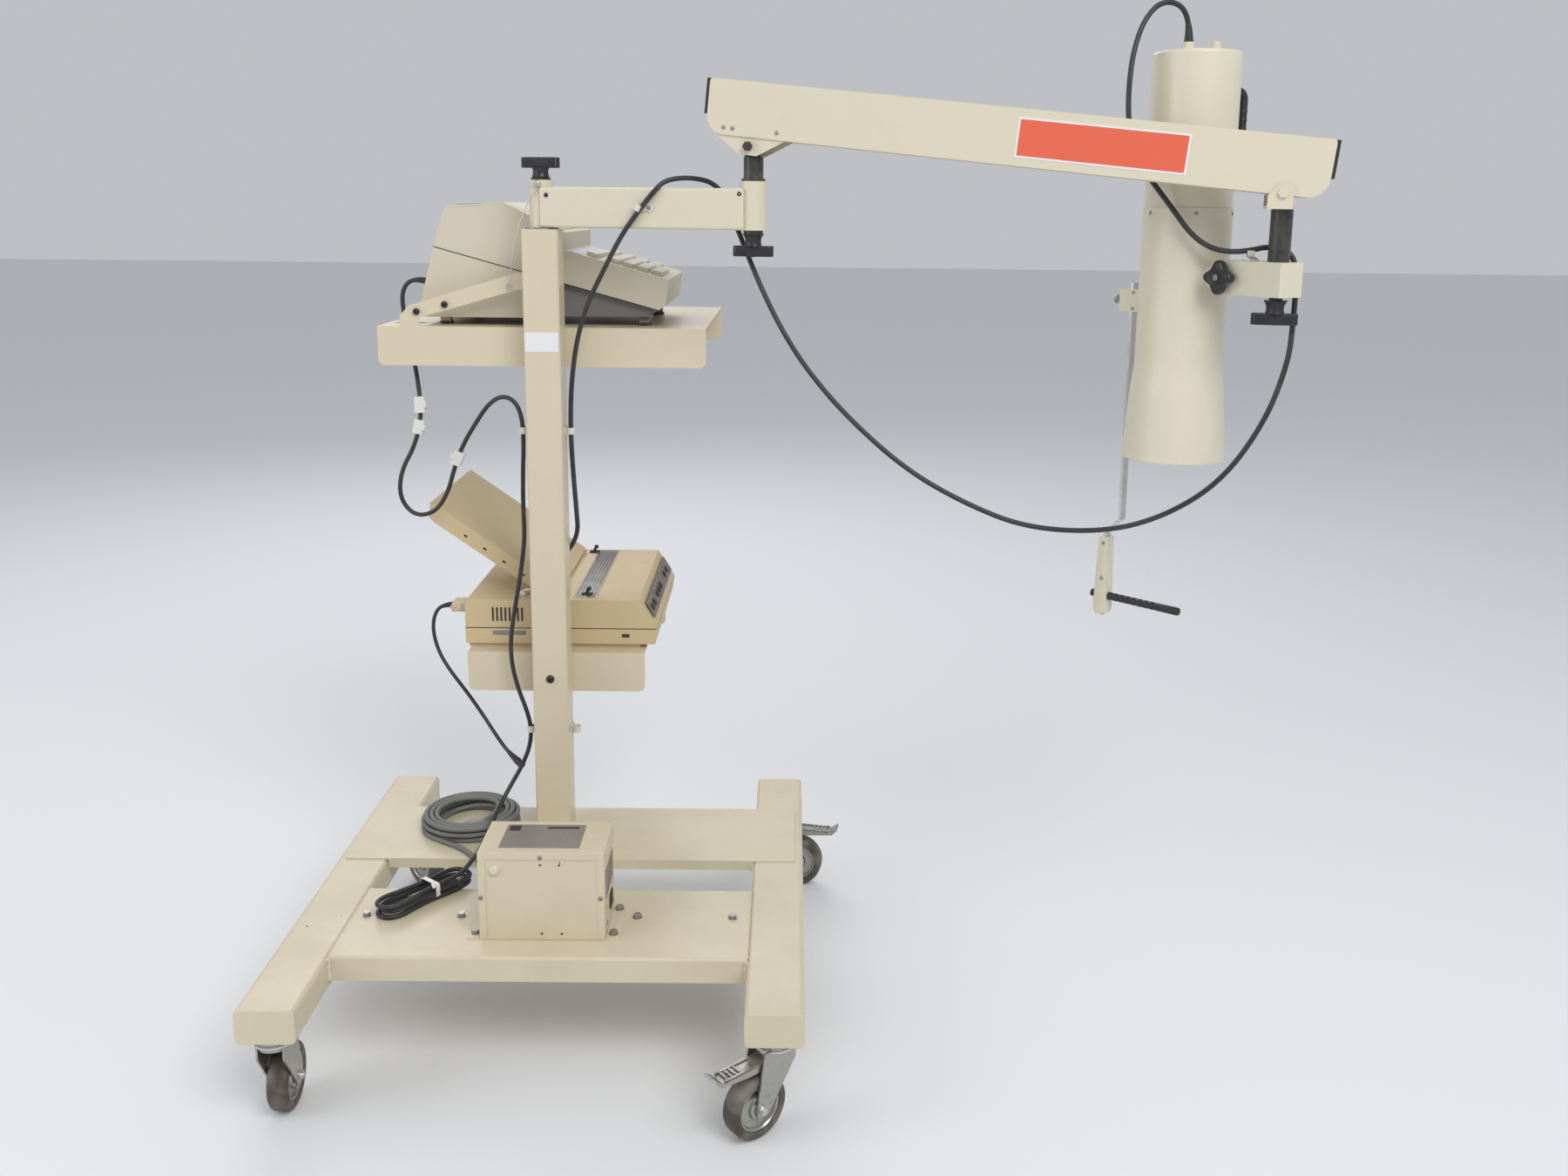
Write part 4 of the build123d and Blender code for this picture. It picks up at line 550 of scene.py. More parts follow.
def material(name):
    """One of the cart's finishes by name."""
    if name in MATERIALS:
        return MATERIALS[name]
    f = finishes()

    def paint(label, tint, peel=260.0, chips=f.wear, grime=f.grime):
        return new_material(label, "enamel", {"Paint": rgba(tint), "Chips": chips, "Grime": grime,
                                              "Peel Scale": peel}, 0.12, 0.0003, coat=0.12)[0]

    def plastic(label, tint, grain=900.0, yellowing=0.12, rough=0.5, bump=0.16, coat=0.0):
        return new_material(label, "grain", {"Plastic": rgba(tint), "Grain Scale": grain,
                                             "Yellowing": yellowing, "Base Roughness": rough},
                            bump, 0.0002, coat=coat)[0]

    def metal(label, tint, rough=0.32, dulling=0.3):
        return new_material(label, "metal", {"Metal": rgba(tint), "Dulling": dulling,
                                             "Base Roughness": rough}, 0.06, 0.0002, metallic=0.9)[0]

    def rubber(label, tint, bloom=0.15, skin=300.0, rough=0.48, bump=0.1):
        return new_material(label, "rubber", {"Rubber": rgba(tint), "Bloom": bloom, "Skin Scale": skin,
                                              "Base Roughness": rough}, bump, 0.0003)[0]

    makers = {
        "cart enamel": lambda: paint("Cart enamel", f.enamel),
        "arm enamel": lambda: paint("Arm enamel", f.arm, 240.0, f.wear * 0.4, f.grime * 0.4),
        "probe enamel": lambda: paint("Probe enamel", f.probe, 420.0, f.wear * 0.2, f.grime * 0.3),
        "weld": lambda: paint("Painted weld", f.enamel, 150.0, f.wear, f.grime),
        "console": lambda: plastic("Console shell", f.console, 1100.0, 0.1, 0.52),
        "console stripe": lambda: plastic("Console stripe", f.console_stripe, 1100.0, 0.0, 0.45),
        # Painted shade colour of the console's recesses and vent ribs.
        "console shade": lambda: plastic("Painted console shade", f.console_base, 900.0, 0.0, 0.6),
        "keycap": lambda: plastic("Keycap", f.keycap, 1500.0, 0.08, 0.38, 0.08),
        "printer": lambda: plastic("Printer shell", f.printer, 1000.0, 0.25, 0.5),
        "printer window": lambda: plastic("Printer window", f.printer_window, 900.0, 0.0, 0.34, 0.02, 0.15),
        "printer panel": lambda: plastic("Printer panel", f.printer_panel, 1200.0, 0.0, 0.45),
        # Near-black plastic of buttons, levers and catches; the same colour is also painted shade in vent slots and
        # holes, and on the dark seam lines.
        "dark parts and painted shade": lambda: plastic("Dark plastic and painted shade", (0.03, 0.028, 0.026), 900.0, 0.0, 0.7),
        "black plastic": lambda: plastic("Black moulding", f.black, 700.0, 0.0, 0.42, 0.12),
        "nylon": lambda: plastic("Nylon", f.nylon, 600.0, 0.15, 0.42, 0.1),
        "white tie": lambda: plastic("White tie", (0.8, 0.8, 0.78), 600.0, 0.0, 0.4, 0.08),
        "lens": lambda: plastic("Pilot lens", (0.66, 0.62, 0.5), 200.0, 0.3, 0.2, 0.02, 0.5),
        "name plate": lambda: plastic("Name plate", f.label_grey, 500.0, 0.0, 0.3, 0.04, 0.3),
        "white label": lambda: plastic("White label", f.label_white, 700.0, 0.05, 0.42, 0.05),
        "warning plate": lambda: plastic("Warning plate", f.label_orange, 500.0, 0.0, 0.34, 0.04, 0.2),
        "ferrite": lambda: plastic("Ferrite clamp", (0.7, 0.7, 0.67), 500.0, 0.05, 0.4, 0.08),
        "zinc": lambda: metal("Zinc plate", f.zinc),
        "bright steel": lambda: metal("Bright steel", (0.66, 0.66, 0.66), 0.22, 0.15),
        "dull steel": lambda: metal("Dull steel", (0.33, 0.33, 0.34), 0.45, 0.35),
        "screw": lambda: metal("Screw head", (0.3, 0.3, 0.3), 0.35, 0.2),
        "black steel": lambda: paint("Black enamel", f.steel_black, 300.0, 0.0, 0.0),
        "tyre": lambda: rubber("Tyre rubber", f.tyre, 0.42, 160.0, 0.62, 0.25),
        "black cord": lambda: rubber("Dark cord jacket", f.cord_black, 0.05, 420.0, 0.42, 0.05),
        "grey cord": lambda: rubber("Grey cord jacket", f.cord_grey, 0.1, 420.0, 0.48, 0.05),
        "relief": lambda: rubber("Strain relief rubber", (0.02, 0.02, 0.022), 0.08, 300.0, 0.5, 0.08),
        "grey relief": lambda: rubber("Grey relief rubber", (0.25, 0.255, 0.26), 0.08, 300.0, 0.5, 0.08),
        "foot": lambda: rubber("Rubber foot", (0.03, 0.03, 0.03), 0.1, 300.0, 0.7),
    }
    MATERIALS[name] = makers[name]()
    return MATERIALS[name]


# ---- cords --------------------------------------------------------------------------------------
PROBE_LEAD_ROUTE = (
    (1.0653, -0.1308, 1.622), (1.0653, -0.1308, 1.652), (1.048, -0.136, 1.68),
    (1.014, -0.146, 1.682), (0.986, -0.16, 1.654), (0.968, -0.176, 1.608), (0.96, -0.188, 1.556),
    (0.961, -0.19, 1.498), (0.972, -0.195, 1.442), (1.004, -0.205, 1.398), (1.035, -0.214, 1.358),
    (1.061, -0.223, 1.322), (1.089, -0.236, 1.3), (1.119, -0.248, 1.294), (1.148, -0.254, 1.297),
    (1.174, -0.262, 1.304), (1.206, -0.271, 1.297), (1.2165, -0.2755, 1.266),
    (1.2165, -0.2755, 1.222),
)
SWAG_ROUTE = (
    (1.2165, -0.2755, 1.222), (1.2165, -0.2755, 1.18), (1.21, -0.284, 1.124), (1.18, -0.29, 1.034),
    (1.122, -0.28, 0.936), (1.043, -0.26, 0.874), (0.951, -0.237, 0.84), (0.828, -0.206, 0.838),
    (0.729, -0.182, 0.872), (0.628, -0.157, 0.925), (0.53, -0.128, 1.008), (0.462, -0.108, 1.084),
    (0.418, -0.094, 1.15), (0.384, -0.078, 1.216), (0.356, -0.062, 1.28), (0.336, -0.05, 1.33),
)
COLUMN_ROUTE = (
    (0.336, -0.05, 1.33), (0.318, -0.0392, 1.375), (0.296, -0.036, 1.396), (0.268, -0.05, 1.402),
    (0.242, -0.062, 1.402), (0.218, -0.075, 1.396), (0.203, -0.084, 1.38), (0.176, -0.0772, 1.348),
    (0.144, -0.0692, 1.304), (0.114, -0.054, 1.25), (0.082, -0.032, 1.192), (0.058, -0.01, 1.126),
    (0.045, -0.001, 1.044), (0.042, 0, 0.961), (0.045, 0.003, 0.88), (0.048, 0.014, 0.806),
    (0.047, 0.031, 0.772), (0.036, 0.044, 0.744), (0.019, 0.047, 0.722), (0.007, 0.046, 0.7),
    (0.004, 0.046, 0.674),
)
MAINS_ROUTE = (
    (-0.2247, 0.112, 1.215), (-0.2546, 0.112, 1.2231), (-0.278, 0.111, 1.202),
    (-0.276, 0.108, 1.158), (-0.262, 0.1, 1.1), (-0.248, 0.084, 1.036), (-0.24, 0.07, 0.976),
    (-0.252, 0.062, 0.922), (-0.279, 0.058, 0.874), (-0.284, 0.057, 0.824), (-0.258, 0.057, 0.79),
    (-0.22, 0.057, 0.796), (-0.194, 0.056, 0.834), (-0.18, 0.054, 0.882), (-0.16, 0.046, 0.928),
    (-0.134, 0.036, 0.968), (-0.108, 0.022, 1.004), (-0.08, 0.01, 1.022), (-0.054, 0.002, 1.012),
    (-0.043, 0, 0.98), (-0.042, 0, 0.936), (-0.045, 0, 0.88), (-0.046, 0, 0.82),
    (-0.045, 0.001, 0.762), (-0.054, 0.002, 0.7), (-0.066, 0.004, 0.636), (-0.076, 0.004, 0.58),
    (-0.077, 0.004, 0.53), (-0.066, 0.002, 0.48), (-0.05, 0.001, 0.436), (-0.042, 0, 0.401),
    (-0.046, 0, 0.364), (-0.062, -0.004, 0.326), (-0.082, -0.018, 0.292), (-0.097, -0.05, 0.264),
    (-0.102, -0.096, 0.251), (-0.104, -0.14, 0.243), (-0.109, -0.178, 0.236),
    (-0.1176, -0.203, 0.23),
)
DATA_ROUTE = (
    (-0.206, 0.12, 0.603), (-0.23, 0.12, 0.603), (-0.245, 0.118, 0.583), (-0.248, 0.115, 0.55),
    (-0.236, 0.109, 0.51), (-0.214, 0.102, 0.476), (-0.189, 0.092, 0.448), (-0.163, 0.077, 0.42),
    (-0.138, 0.06, 0.392), (-0.114, 0.04, 0.366), (-0.092, 0.022, 0.346), (-0.074, 0.008, 0.336),
)
EXTENSION_TAIL = (
    (-0.022, -0.297, 0.238), (-0.022, -0.268, 0.238), (-0.044, -0.24, 0.228), (-0.076, -0.212, 0.218),
    (-0.1, -0.178, 0.213), (-0.122, -0.142, 0.212), (-0.152, -0.106, 0.212),
)
HANK = frame_at((-0.176, -0.278, 0), UP, (-0.62, -0.785, 0))
COIL_AT = Vector((-0.16, 0.005, 0))

# The hank's folds in its own frame: out along one side, round the fold and back along the other.
HANK_ROUTE = (
    (-0.072, 0.012, 0.2285), (-0.042, 0.0165, 0.228), (0.0, 0.014, 0.2275), (0.036, 0.02, 0.227),
    (0.066, 0.0235, 0.2265), (0.088, 0.013, 0.226), (0.088, -0.013, 0.2255), (0.066, -0.0235, 0.225),
    (0.03, -0.019, 0.2245), (-0.012, -0.0155, 0.224), (-0.046, -0.021, 0.223), (-0.072, -0.0225, 0.2215),
    (-0.0885, -0.012, 0.22), (-0.0885, 0.012, 0.219), (-0.072, 0.0225, 0.2185), (-0.042, 0.02, 0.218),
    (0.002, 0.0165, 0.218), (0.034, 0.019, 0.2175), (0.06, 0.0225, 0.2175), (0.081, 0.0125, 0.217),
    (0.081, -0.0125, 0.2165), (0.06, -0.0225, 0.216), (0.024, -0.018, 0.2155), (-0.014, -0.017, 0.215),
    (-0.044, -0.021, 0.214), (-0.07, -0.022, 0.2125), (-0.0865, -0.012, 0.2105), (-0.0865, 0.012, 0.2095),
    (-0.07, 0.022, 0.209), (-0.036, 0.021, 0.2085), (0.004, 0.017, 0.2085), (0.04, 0.0205, 0.2085),
    (0.066, 0.0235, 0.2085), (0.087, 0.013, 0.2085), (0.087, -0.013, 0.2085), (0.066, -0.0235, 0.2085),
    (0.04, -0.0195, 0.2085), (0.016, -0.012, 0.2085), (-0.006, -0.004, 0.209), (-0.03, -0.001, 0.2095),
)


def coil_route():
    """The grey extension: its tail from the box, then three layers of loose turns, then its end."""
    route = [Vector(point) for point in EXTENSION_TAIL]
    start = radians(-112)
    turns_a_layer, steps = 3.25, 14
    radii = ((0.0925, 0.059), (0.059, 0.0915), (0.0905, 0.0595))
    heights = (0.2118, 0.2232, 0.2348)
    count = int(turns_a_layer * steps)
    angle = start
    for layer, ((from_r, to_r), z) in enumerate(zip(radii, heights)):
        for k in range(count):
            t = k / (count - 1)
            r = from_r + (to_r - from_r) * t
            r += 0.0011 * sin(angle * 1.0 + layer * 1.9) + 0.0005 * sin(2 * angle + 1.3)
            rise = 0.0 if layer == 0 else (z - heights[layer - 1]) * min(1.0, t * turns_a_layer / 0.4)
            base = z if layer == 0 else heights[layer - 1]
            drift = Vector((0.0014 * cos(layer * 2.4), 0.0014 * sin(layer * 2.4), 0))
            route.append(COIL_AT + drift + Vector((r * cos(angle), r * sin(angle), base + rise)))
            angle -= 2 * pi / steps
    for r, z in ((0.049, 0.232), (0.041, 0.227), (0.034, 0.2225), (0.028, 0.219)):
        route.append(COIL_AT + Vector((r * cos(angle), r * sin(angle), z)))
        angle -= 2 * pi / steps
    return route


def cord_curve(name, route, diameter, body, material_name, replaces):
    """A smooth cord whose control points are the route's."""
    curve = bpy.data.curves.new(name, "CURVE")
    curve.dimensions = "3D"
    spline = curve.splines.new("NURBS")
    spline.points.add(len(route) - 1)
    for point, place in zip(spline.points, route):
        point.co = (*place, 1)
        point.radius = diameter / 2
    spline.order_u = 3
    spline.use_endpoint_u = True
    spline.resolution_u = 10
    curve.bevel_depth = 1
    curve.bevel_resolution = 5
    curve.use_fill_caps = True
    curve.materials.append(material(material_name))
    obj = bpy.data.objects.new(name, curve)
    bpy.context.scene.collection.objects.link(obj)
    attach(obj, body)
    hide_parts(*replaces)
    return obj


def centreline(obj):
    """The points that a cord's own line passes through."""
    curve = obj.data
    depth, curve.bevel_depth = curve.bevel_depth, 0
    bpy.context.view_layer.update()
    mesh = bpy.data.meshes.new_from_object(obj.evaluated_get(bpy.context.evaluated_depsgraph_get()))
    points = [vertex.co.copy() for vertex in mesh.vertices]
    bpy.data.meshes.remove(mesh)
    curve.bevel_depth = depth
    return points


def run_length(points):
    """Length along a line of points."""
    return sum((b - a).length for a, b in zip(points, points[1:]))


def along(points, distance):
    """The point at a distance along a line of points, and the direction there."""
    gone = 0
    for a, b in zip(points, points[1:]):
        step = (b - a).length
        if gone + step >= distance and step > 0:
            return a + (b - a) * (distance - gone) / step, (b - a).normalized()
        gone += step
    return points[-1].copy(), (points[-1] - points[-2]).normalized()


def stretch(points, start, end, steps=9):
    """Points spaced evenly along part of a line."""
    return [along(points, start + (end - start) * k / (steps - 1))[0] for k in range(steps)]


def relief(name, points, diameter, body, material_name, from_end=False, size=None):
    """A ribbed strain relief that tapers from the housing down to the cord."""
    total = run_length(points)
    span = size or cords().relief
    steps = 15
    where = [total - span * k / (steps - 1) for k in range(steps)] if from_end else [
        span * k / (steps - 1) for k in range(steps)]
    line = [along(points, d)[0] for d in where]
    bm = bmesh.new()

    def radius(k):
        taper = diameter * (0.86 - 0.32 * k / (steps - 1))
        return taper * (1.07 if k % 2 else 0.97)

    swept(bm, line, radius, 20)
    return piece(name, bm, body, material(material_name), crease=50)


def plug_body(name, points, diameter, body, material_name, size=(0.034, 0.02, 0.016), pins=0):
    """A moulded plug on a cord's end: a rounded body, a grip ridge and round pins."""
    at, ahead = points[-1], (points[-1] - points[-2]).normalized()
    side = ahead.cross(UP)
    side = side.normalized() if side.length > 0.1 else ahead.orthogonal().normalized()
    place = frame_at(at - ahead * 0.004, ahead, side)
    long, wide, thick = size
    bm = bmesh.new()

    def section(z, w, h):
        return [bm.verts.new(place @ Vector((x, y, z)))
                for x, y in rounded_outline(w, h, min(w, h) * 0.38, 5)]

    rings = [section(z * long, w * wide, h * thick) for z, w, h in (
        (-0.3, 0.5, 0.62), (0, 0.56, 0.68), (0.12, 0.8, 0.9), (0.3, 1, 1), (0.55, 0.95, 0.97),
        (0.6, 0.9, 0.92), (0.65, 0.95, 0.97), (0.7, 0.9, 0.92), (0.75, 1, 1), (0.96, 1, 1), (1, 0.93, 0.93))]
    for low, high in zip(rings, rings[1:]):
        for k in range(len(low)):
            bm.faces.new((low[k], low[(k + 1) % len(low)], high[(k + 1) % len(low)], high[k]))
    bm.faces.new(rings[0][::-1])
    bm.faces.new(rings[-1])
    obj = piece(name, bm, body, material(material_name), crease=40)
    made = [obj]
    if pins:
        bm = bmesh.new()
        for k in range(pins):
            x = (k - (pins - 1) / 2) * wide * 0.32
            y = -0.25 * thick if k == 1 and pins == 3 else 0
            turned(bm, ((0, 0), (0.002, 0), (0.002, 0.014), (0.0014, 0.0155), (0, 0.016)),
                   place @ Matrix.Translation((x, y, long * 0.99)), 14)
        made.append(piece(name + "_pins", bm, body, material("bright steel")))
    return made


class CART_OT_stage(bpy.types.Operator):
    """Plain pale floor, soft studio light and the camera"""
    bl_idname = "cart.stage"
    bl_label = "Stage"

    def execute(self, context):
        settings = context.scene.cart_stage
        bm = bmesh.new()
        reach = 30
        corners = [bm.verts.new((x, y, 0)) for x, y in
                   ((-reach, -reach), (reach, -reach), (reach, reach), (-reach, reach))]
        bm.faces.new(corners)
        mesh = bpy.data.meshes.new("studio_floor")
        for face in bm.faces:
            face.smooth = True
        bm.to_mesh(mesh)
        bm.free()
        floor = bpy.data.objects.new("studio_floor", mesh)
        context.scene.collection.objects.link(floor)
        pale = bpy.data.materials.new("Studio floor")
        pale.use_nodes = True
        tree = Nodes(pale.node_tree)
        shader = next(node for node in pale.node_tree.nodes if node.type == "BSDF_PRINCIPLED")
        place = tree.add("ShaderNodeTexCoord").outputs["Object"]
        tint = rgba(finishes().floor)
        tree.link(tree.mix(tree.ramp(tree.noise(place, 0.7, 2), 0.3, 0.7, 0, 0.05), tint,
                           (*(c * 0.94 for c in tint[:3]), 1)), shader.inputs["Base Color"])
        shader.inputs["Roughness"].default_value = 0.8
        mesh.materials.append(pale)

        for name, at, target, size, power in (
            ("key_light", (2.1, -3.4, 4.2), (0.3, 0, 0.8), 3.2, settings.key_power),
            ("fill_light", (-3.6, -1.8, 2.4), (0.1, 0, 0.8), 3.0, settings.fill_power),
            ("back_light", (-0.8, 3.6, 3.6), (0.3, 0, 0.9), 3.0, settings.back_power),
        ):
            light = bpy.data.lights.new(name, "AREA")
            light.shape = "DISK"
            light.size = size
            light.energy = power
            obj = bpy.data.objects.new(name, light)
            obj.location = at
            obj.rotation_euler = (Vector(target) - Vector(at)).to_track_quat("-Z", "Y").to_euler()
            context.scene.collection.objects.link(obj)

        world = bpy.data.worlds.new("Studio room")
        world.use_nodes = True
        background = next(node for node in world.node_tree.nodes if node.type == "BACKGROUND")
        background.inputs["Color"].default_value = (0.93, 0.95, 1.0, 1)
        background.inputs["Strength"].default_value = settings.sky
        context.scene.world = world

        pan, tilt, roll = radians(-0.4), radians(11.07), radians(0.63)
        right = Vector((cos(pan), sin(pan), 0))
        ahead_flat = Vector((-sin(pan), cos(pan), 0))
        ahead = ahead_flat * cos(tilt) - UP * sin(tilt)
        over = ahead_flat * sin(tilt) + UP * cos(tilt)
        data = bpy.data.cameras.new("camera")
        data.lens = settings.lens
        data.sensor_width = 36
        data.sensor_fit = "HORIZONTAL"
        data.shift_x = -0.0098
        data.shift_y = -0.0689
        data.clip_start = 0.05
        camera = bpy.data.objects.new("camera", data)
        camera.matrix_world = frame_at((0.4332, -2.4541, 1.3557), -ahead,
                                       right * cos(roll) + over * sin(roll))
        context.scene.collection.objects.link(camera)
        context.scene.camera = camera
        context.scene.view_settings.view_transform = "Standard"
        return {"FINISHED"}


class CART_OT_probe_lead(bpy.types.Operator):
    """The probe's dark lead in its three runs, with its glands, loops, end plug and socket"""
    bl_idname = "cart.probe_lead"
    bl_label = "Probe lead"

    def execute(self, context):
        size = cords().probe_lead
        lead = cord_curve("probe_lead_cord", PROBE_LEAD_ROUTE, size, "probe", "black cord", ["probe_lead"])
        line = centreline(lead)
        gland = relief("probe_lead_relief", line, size, "probe", "relief", size=0.028)
        swag = cord_curve("swag_cord_run", SWAG_ROUTE, size, "lift", "black cord", ["swag_cord"])
        line = centreline(swag)
        run = cord_curve("column_cord_run", COLUMN_ROUTE, size, "swing", "black cord", ["column_cord"])
        line = centreline(run)
        end = relief("column_cord_relief", line, size, "swing", "relief", from_end=True, size=0.03)
        end_plug = plug_body("column_cord_plug", line, size, "swing", "relief", (0.022, 0.014, 0.014))
        bm = bmesh.new()
        block(bm, (0.024, 0.0245, 0.026), frame_at((0.004, 0.0438, 0.644), UP, (1, 0, 0)), 0.002)
        turned(bm, ((0.0, 0.0), (0.0092, 0), (0.0092, 0.003), (0.0085, 0.004), (0.0, 0.004)),
               frame_at((0.004, 0.046, 0.657), UP, (1, 0, 0)), 28)
        piece("column_socket", bm, "base", material("black plastic"))
        return {"FINISHED"}


class CART_OT_mains_cord(bpy.types.Operator):
    """The console's mains cord, down the column and folded into a tied hank on the deck"""
    bl_idname = "cart.mains_cord"
    bl_label = "Mains cord"

    def execute(self, context):
        size = cords().mains
        route = [Vector(p) for p in MAINS_ROUTE] + [HANK @ Vector(p) for p in HANK_ROUTE]
        cord = cord_curve("mains_cord_run", route, size, "base", "black cord", ["mains_cord", "mains_hank"])
        line = centreline(cord)
        parts = [relief("mains_cord_relief", line, size, "base", "relief", size=0.03)]
        parts += plug_body("mains_plug", line, size, "base", "relief", (0.036, 0.024, 0.017), pins=3)
        bm = bmesh.new()
        low_z, high_z = 0.2045, 0.2325
        outline = rounded_outline(0.0435, high_z - low_z, 0.006, 6)
        inner = rounded_outline(0.0415, high_z - low_z - 0.002, 0.0055, 6)
        place = frame_at(HANK @ Vector((-0.012, 0, (low_z + high_z) / 2)), HANK.to_3x3() @ Vector((1, 0, 0)),
                         HANK.to_3x3() @ Vector((0, 1, 0)))
        rings = [[bm.verts.new(place @ Vector((x, y, z))) for x, y in shape]
                 for shape, z in ((outline, -0.004), (outline, 0.004), (inner, 0.004), (inner, -0.004))]
        for low, high in zip(rings, rings[1:] + rings[:1]):
            for k in range(len(low)):
                bm.faces.new((low[k], low[(k + 1) % len(low)], high[(k + 1) % len(low)], high[k]))
        ribbon(bm, [HANK @ Vector((-0.012 + 0.004 * a, 0.006 + b, z)) for a, b, z in (
            (0, 0, 0.2325), (1, 0.006, 0.2345), (2, 0.012, 0.2335), (2.5, 0.019, 0.2305))], 0.006, 0.0009,
               HANK.to_3x3() @ Vector((1, 0.2, 0)))
        parts.append(piece("mains_hank_tie", bm, "base", material("white tie")))

        for number, (at, wide) in enumerate(((0.272, 0.03), (0.312, 0.026), (0.64, 0.026)), start=1):
            centre, ahead = along(line, at)
            place = frame_at(centre, ahead, ahead.cross(Vector((0, 1, 0))))
            bm = bmesh.new()
            for half in (-1, 1):
                outline = rounded_outline(0.019, 0.0095, 0.0025, 4)
                prism(bm, outline, wide, place @ Matrix.Translation((0, half * 0.0052, -wide / 2)), 0.0005, 1)
            block(bm, (0.006, 0.022, wide * 0.4), place @ Matrix.Translation((0.0095, 0, 0)), 0.0008)
            piece(f"ferrite_{number}", bm, "base", material("ferrite"))
        return {"FINISHED"}


class CART_OT_data_cord(bpy.types.Operator):
    """The printer's data cord with its strain reliefs and moulded plug"""
    bl_idname = "cart.data_cord"
    bl_label = "Data cord"

    def execute(self, context):
        size = cords().data
        cord = cord_curve("data_cord_run", DATA_ROUTE, size, "base", "black cord", ["data_cord"])
        line = centreline(cord)
        parts = [relief("data_cord_relief", line, size, "base", "relief", size=0.022)]
        parts += [relief("data_cord_end_relief", line, size, "base", "relief", from_end=True, size=0.022)]
        parts += plug_body("data_cord_plug", line, size, "base", "relief", (0.024, 0.013, 0.012))
        return {"FINISHED"}


class CART_OT_extension_coil(bpy.types.Operator):
    """The grey extension cord, loosely coiled on the rear plate"""
    bl_idname = "cart.extension_coil"
    bl_label = "Extension coil"

    def execute(self, context):
        size = cords().extension
        cord = cord_curve("extension_cord", coil_route(), size, "base", "grey cord", ["grey_coil"])
        line = centreline(cord)
        parts = [relief("extension_relief", line, size, "base", "grey relief", size=0.03)]
        parts += plug_body("extension_plug", line, size, "base", "grey relief", (0.04, 0.026, 0.018), pins=3)
        return {"FINISHED"}


# ---- finishes of the CAD nodes ------------------------------------------------------------------
def split_material(name, first, second, rule):
    """A material that is one finish where the rule's mask is 0 and another where it is 1."""
    made = bpy.data.materials.new(name)
    made.use_nodes = True
    tree = Nodes(made.node_tree)
    shader = next(node for node in made.node_tree.nodes if node.type == "BSDF_PRINCIPLED")
    place = tree.add("ShaderNodeTexCoord").outputs["Object"]
    mask = rule(tree, place)
    groups = []
    for key, values in (first, second):
        group = tree.add("ShaderNodeGroup", node_tree=effect(key))
        tree.link(place, group.inputs["Place"])
        for label, value in values.items():
            group.inputs[label].default_value = value
        groups.append(group)
    a, b = groups
    tree.link(tree.mix(mask, a.outputs["Colour"], b.outputs["Colour"]), shader.inputs["Base Color"])
    rough = tree.add("ShaderNodeMix", data_type="FLOAT")
    height = tree.add("ShaderNodeMix", data_type="FLOAT")
    for node, label in ((rough, "Roughness"), (height, "Height")):
        tree.link(mask, node.inputs[0])
        tree.link(a.outputs[label], node.inputs[2])
        tree.link(b.outputs[label], node.inputs[3])
    tree.link(rough.outputs[0], shader.inputs["Roughness"])
    relief_node = tree.add("ShaderNodeBump")
    relief_node.inputs["Strength"].default_value = 0.12
    relief_node.inputs["Distance"].default_value = 0.0002
    tree.link(height.outputs[0], relief_node.inputs["Height"])
    tree.link(relief_node.outputs["Normal"], shader.inputs["Normal"])
    return made


def axis_mask(axis, limit, above=True):
    """A rule: 1 on the far side of a plane square to an axis."""
    def rule(tree, place):
        split = tree.add("ShaderNodeSeparateXYZ")
        tree.link(place, split.inputs[0])
        low, high = (limit - 0.0002, limit + 0.0002)
        return tree.ramp(split.outputs[axis], low, high, *((0, 1) if above else (1, 0)))
    return rule


class CART_OT_finishes(bpy.types.Operator):
    """Puts a detailed finish on every CAD node that stays"""
    bl_idname = "cart.finishes"
    bl_label = "Finishes"

    def execute(self, context):
        f = finishes()
        plan = {
            "cart enamel": ("left_rail", "right_rail", "front_deck", "rear_cross_tube", "rear_plate", "column",
                            "upper_shelf", "lower_shelf", "chain_bracket", "transformer_box"),
            "arm enamel": ("swing_arm", "lift_arm"),
            "probe enamel": ("probe_body", "probe_cap", "yoke_box", "gauge_clamp"),
            "black steel": ("elbow_post",),
            "black plastic": ("arm_caps", "probe_handle"),
            "zinc": ("caster_tops", "frame_bolts", *(c + "_fork" for c in CORNERS),
                     *(c + "_pedal" for c in CORNERS)),
            "bright steel": ("gauge_bar",),
            "dull steel": ("parallel_link", "shoulder_bearing", "detector"),
            "nylon": ("cable_clips",),
            "console": ("console_cover",),
            "printer": ("printer_body", "paper_tray"),
        }
        for name, nodes in plan.items():
            for node in nodes:
                self.finish(node, material(name))
        # The console base beyond X = -0.02, under the sloping key face, gets painted shade; the rest keeps the shell
        # colour.
        recess = split_material(
            "Console base with painted shade",
            ("grain", {"Plastic": rgba(f.console), "Yellowing": 0.1, "Base Roughness": 0.52}),
            ("grain", {"Plastic": rgba(f.console_base), "Yellowing": 0.0, "Base Roughness": 0.6}),
            axis_mask("X", -0.0199))
        self.finish("console_base", recess)
        ears = split_material(
            "End post",
            ("enamel", {"Paint": rgba(f.steel_black), "Chips": 0.0, "Grime": 0.0}),
            ("enamel", {"Paint": rgba(f.arm), "Chips": 0.1, "Grime": 0.1}),
            axis_mask("Z", 1.3605))
        self.finish("end_post", ears)
        return {"FINISHED"}

    def finish(self, node, made):
        """Assigns the material to all of the node's slots."""
        obj = NODES[node]
        if not obj.material_slots:
            obj.data.materials.append(made)
        for number in range(len(obj.material_slots)):
            obj.data.materials[number] = made


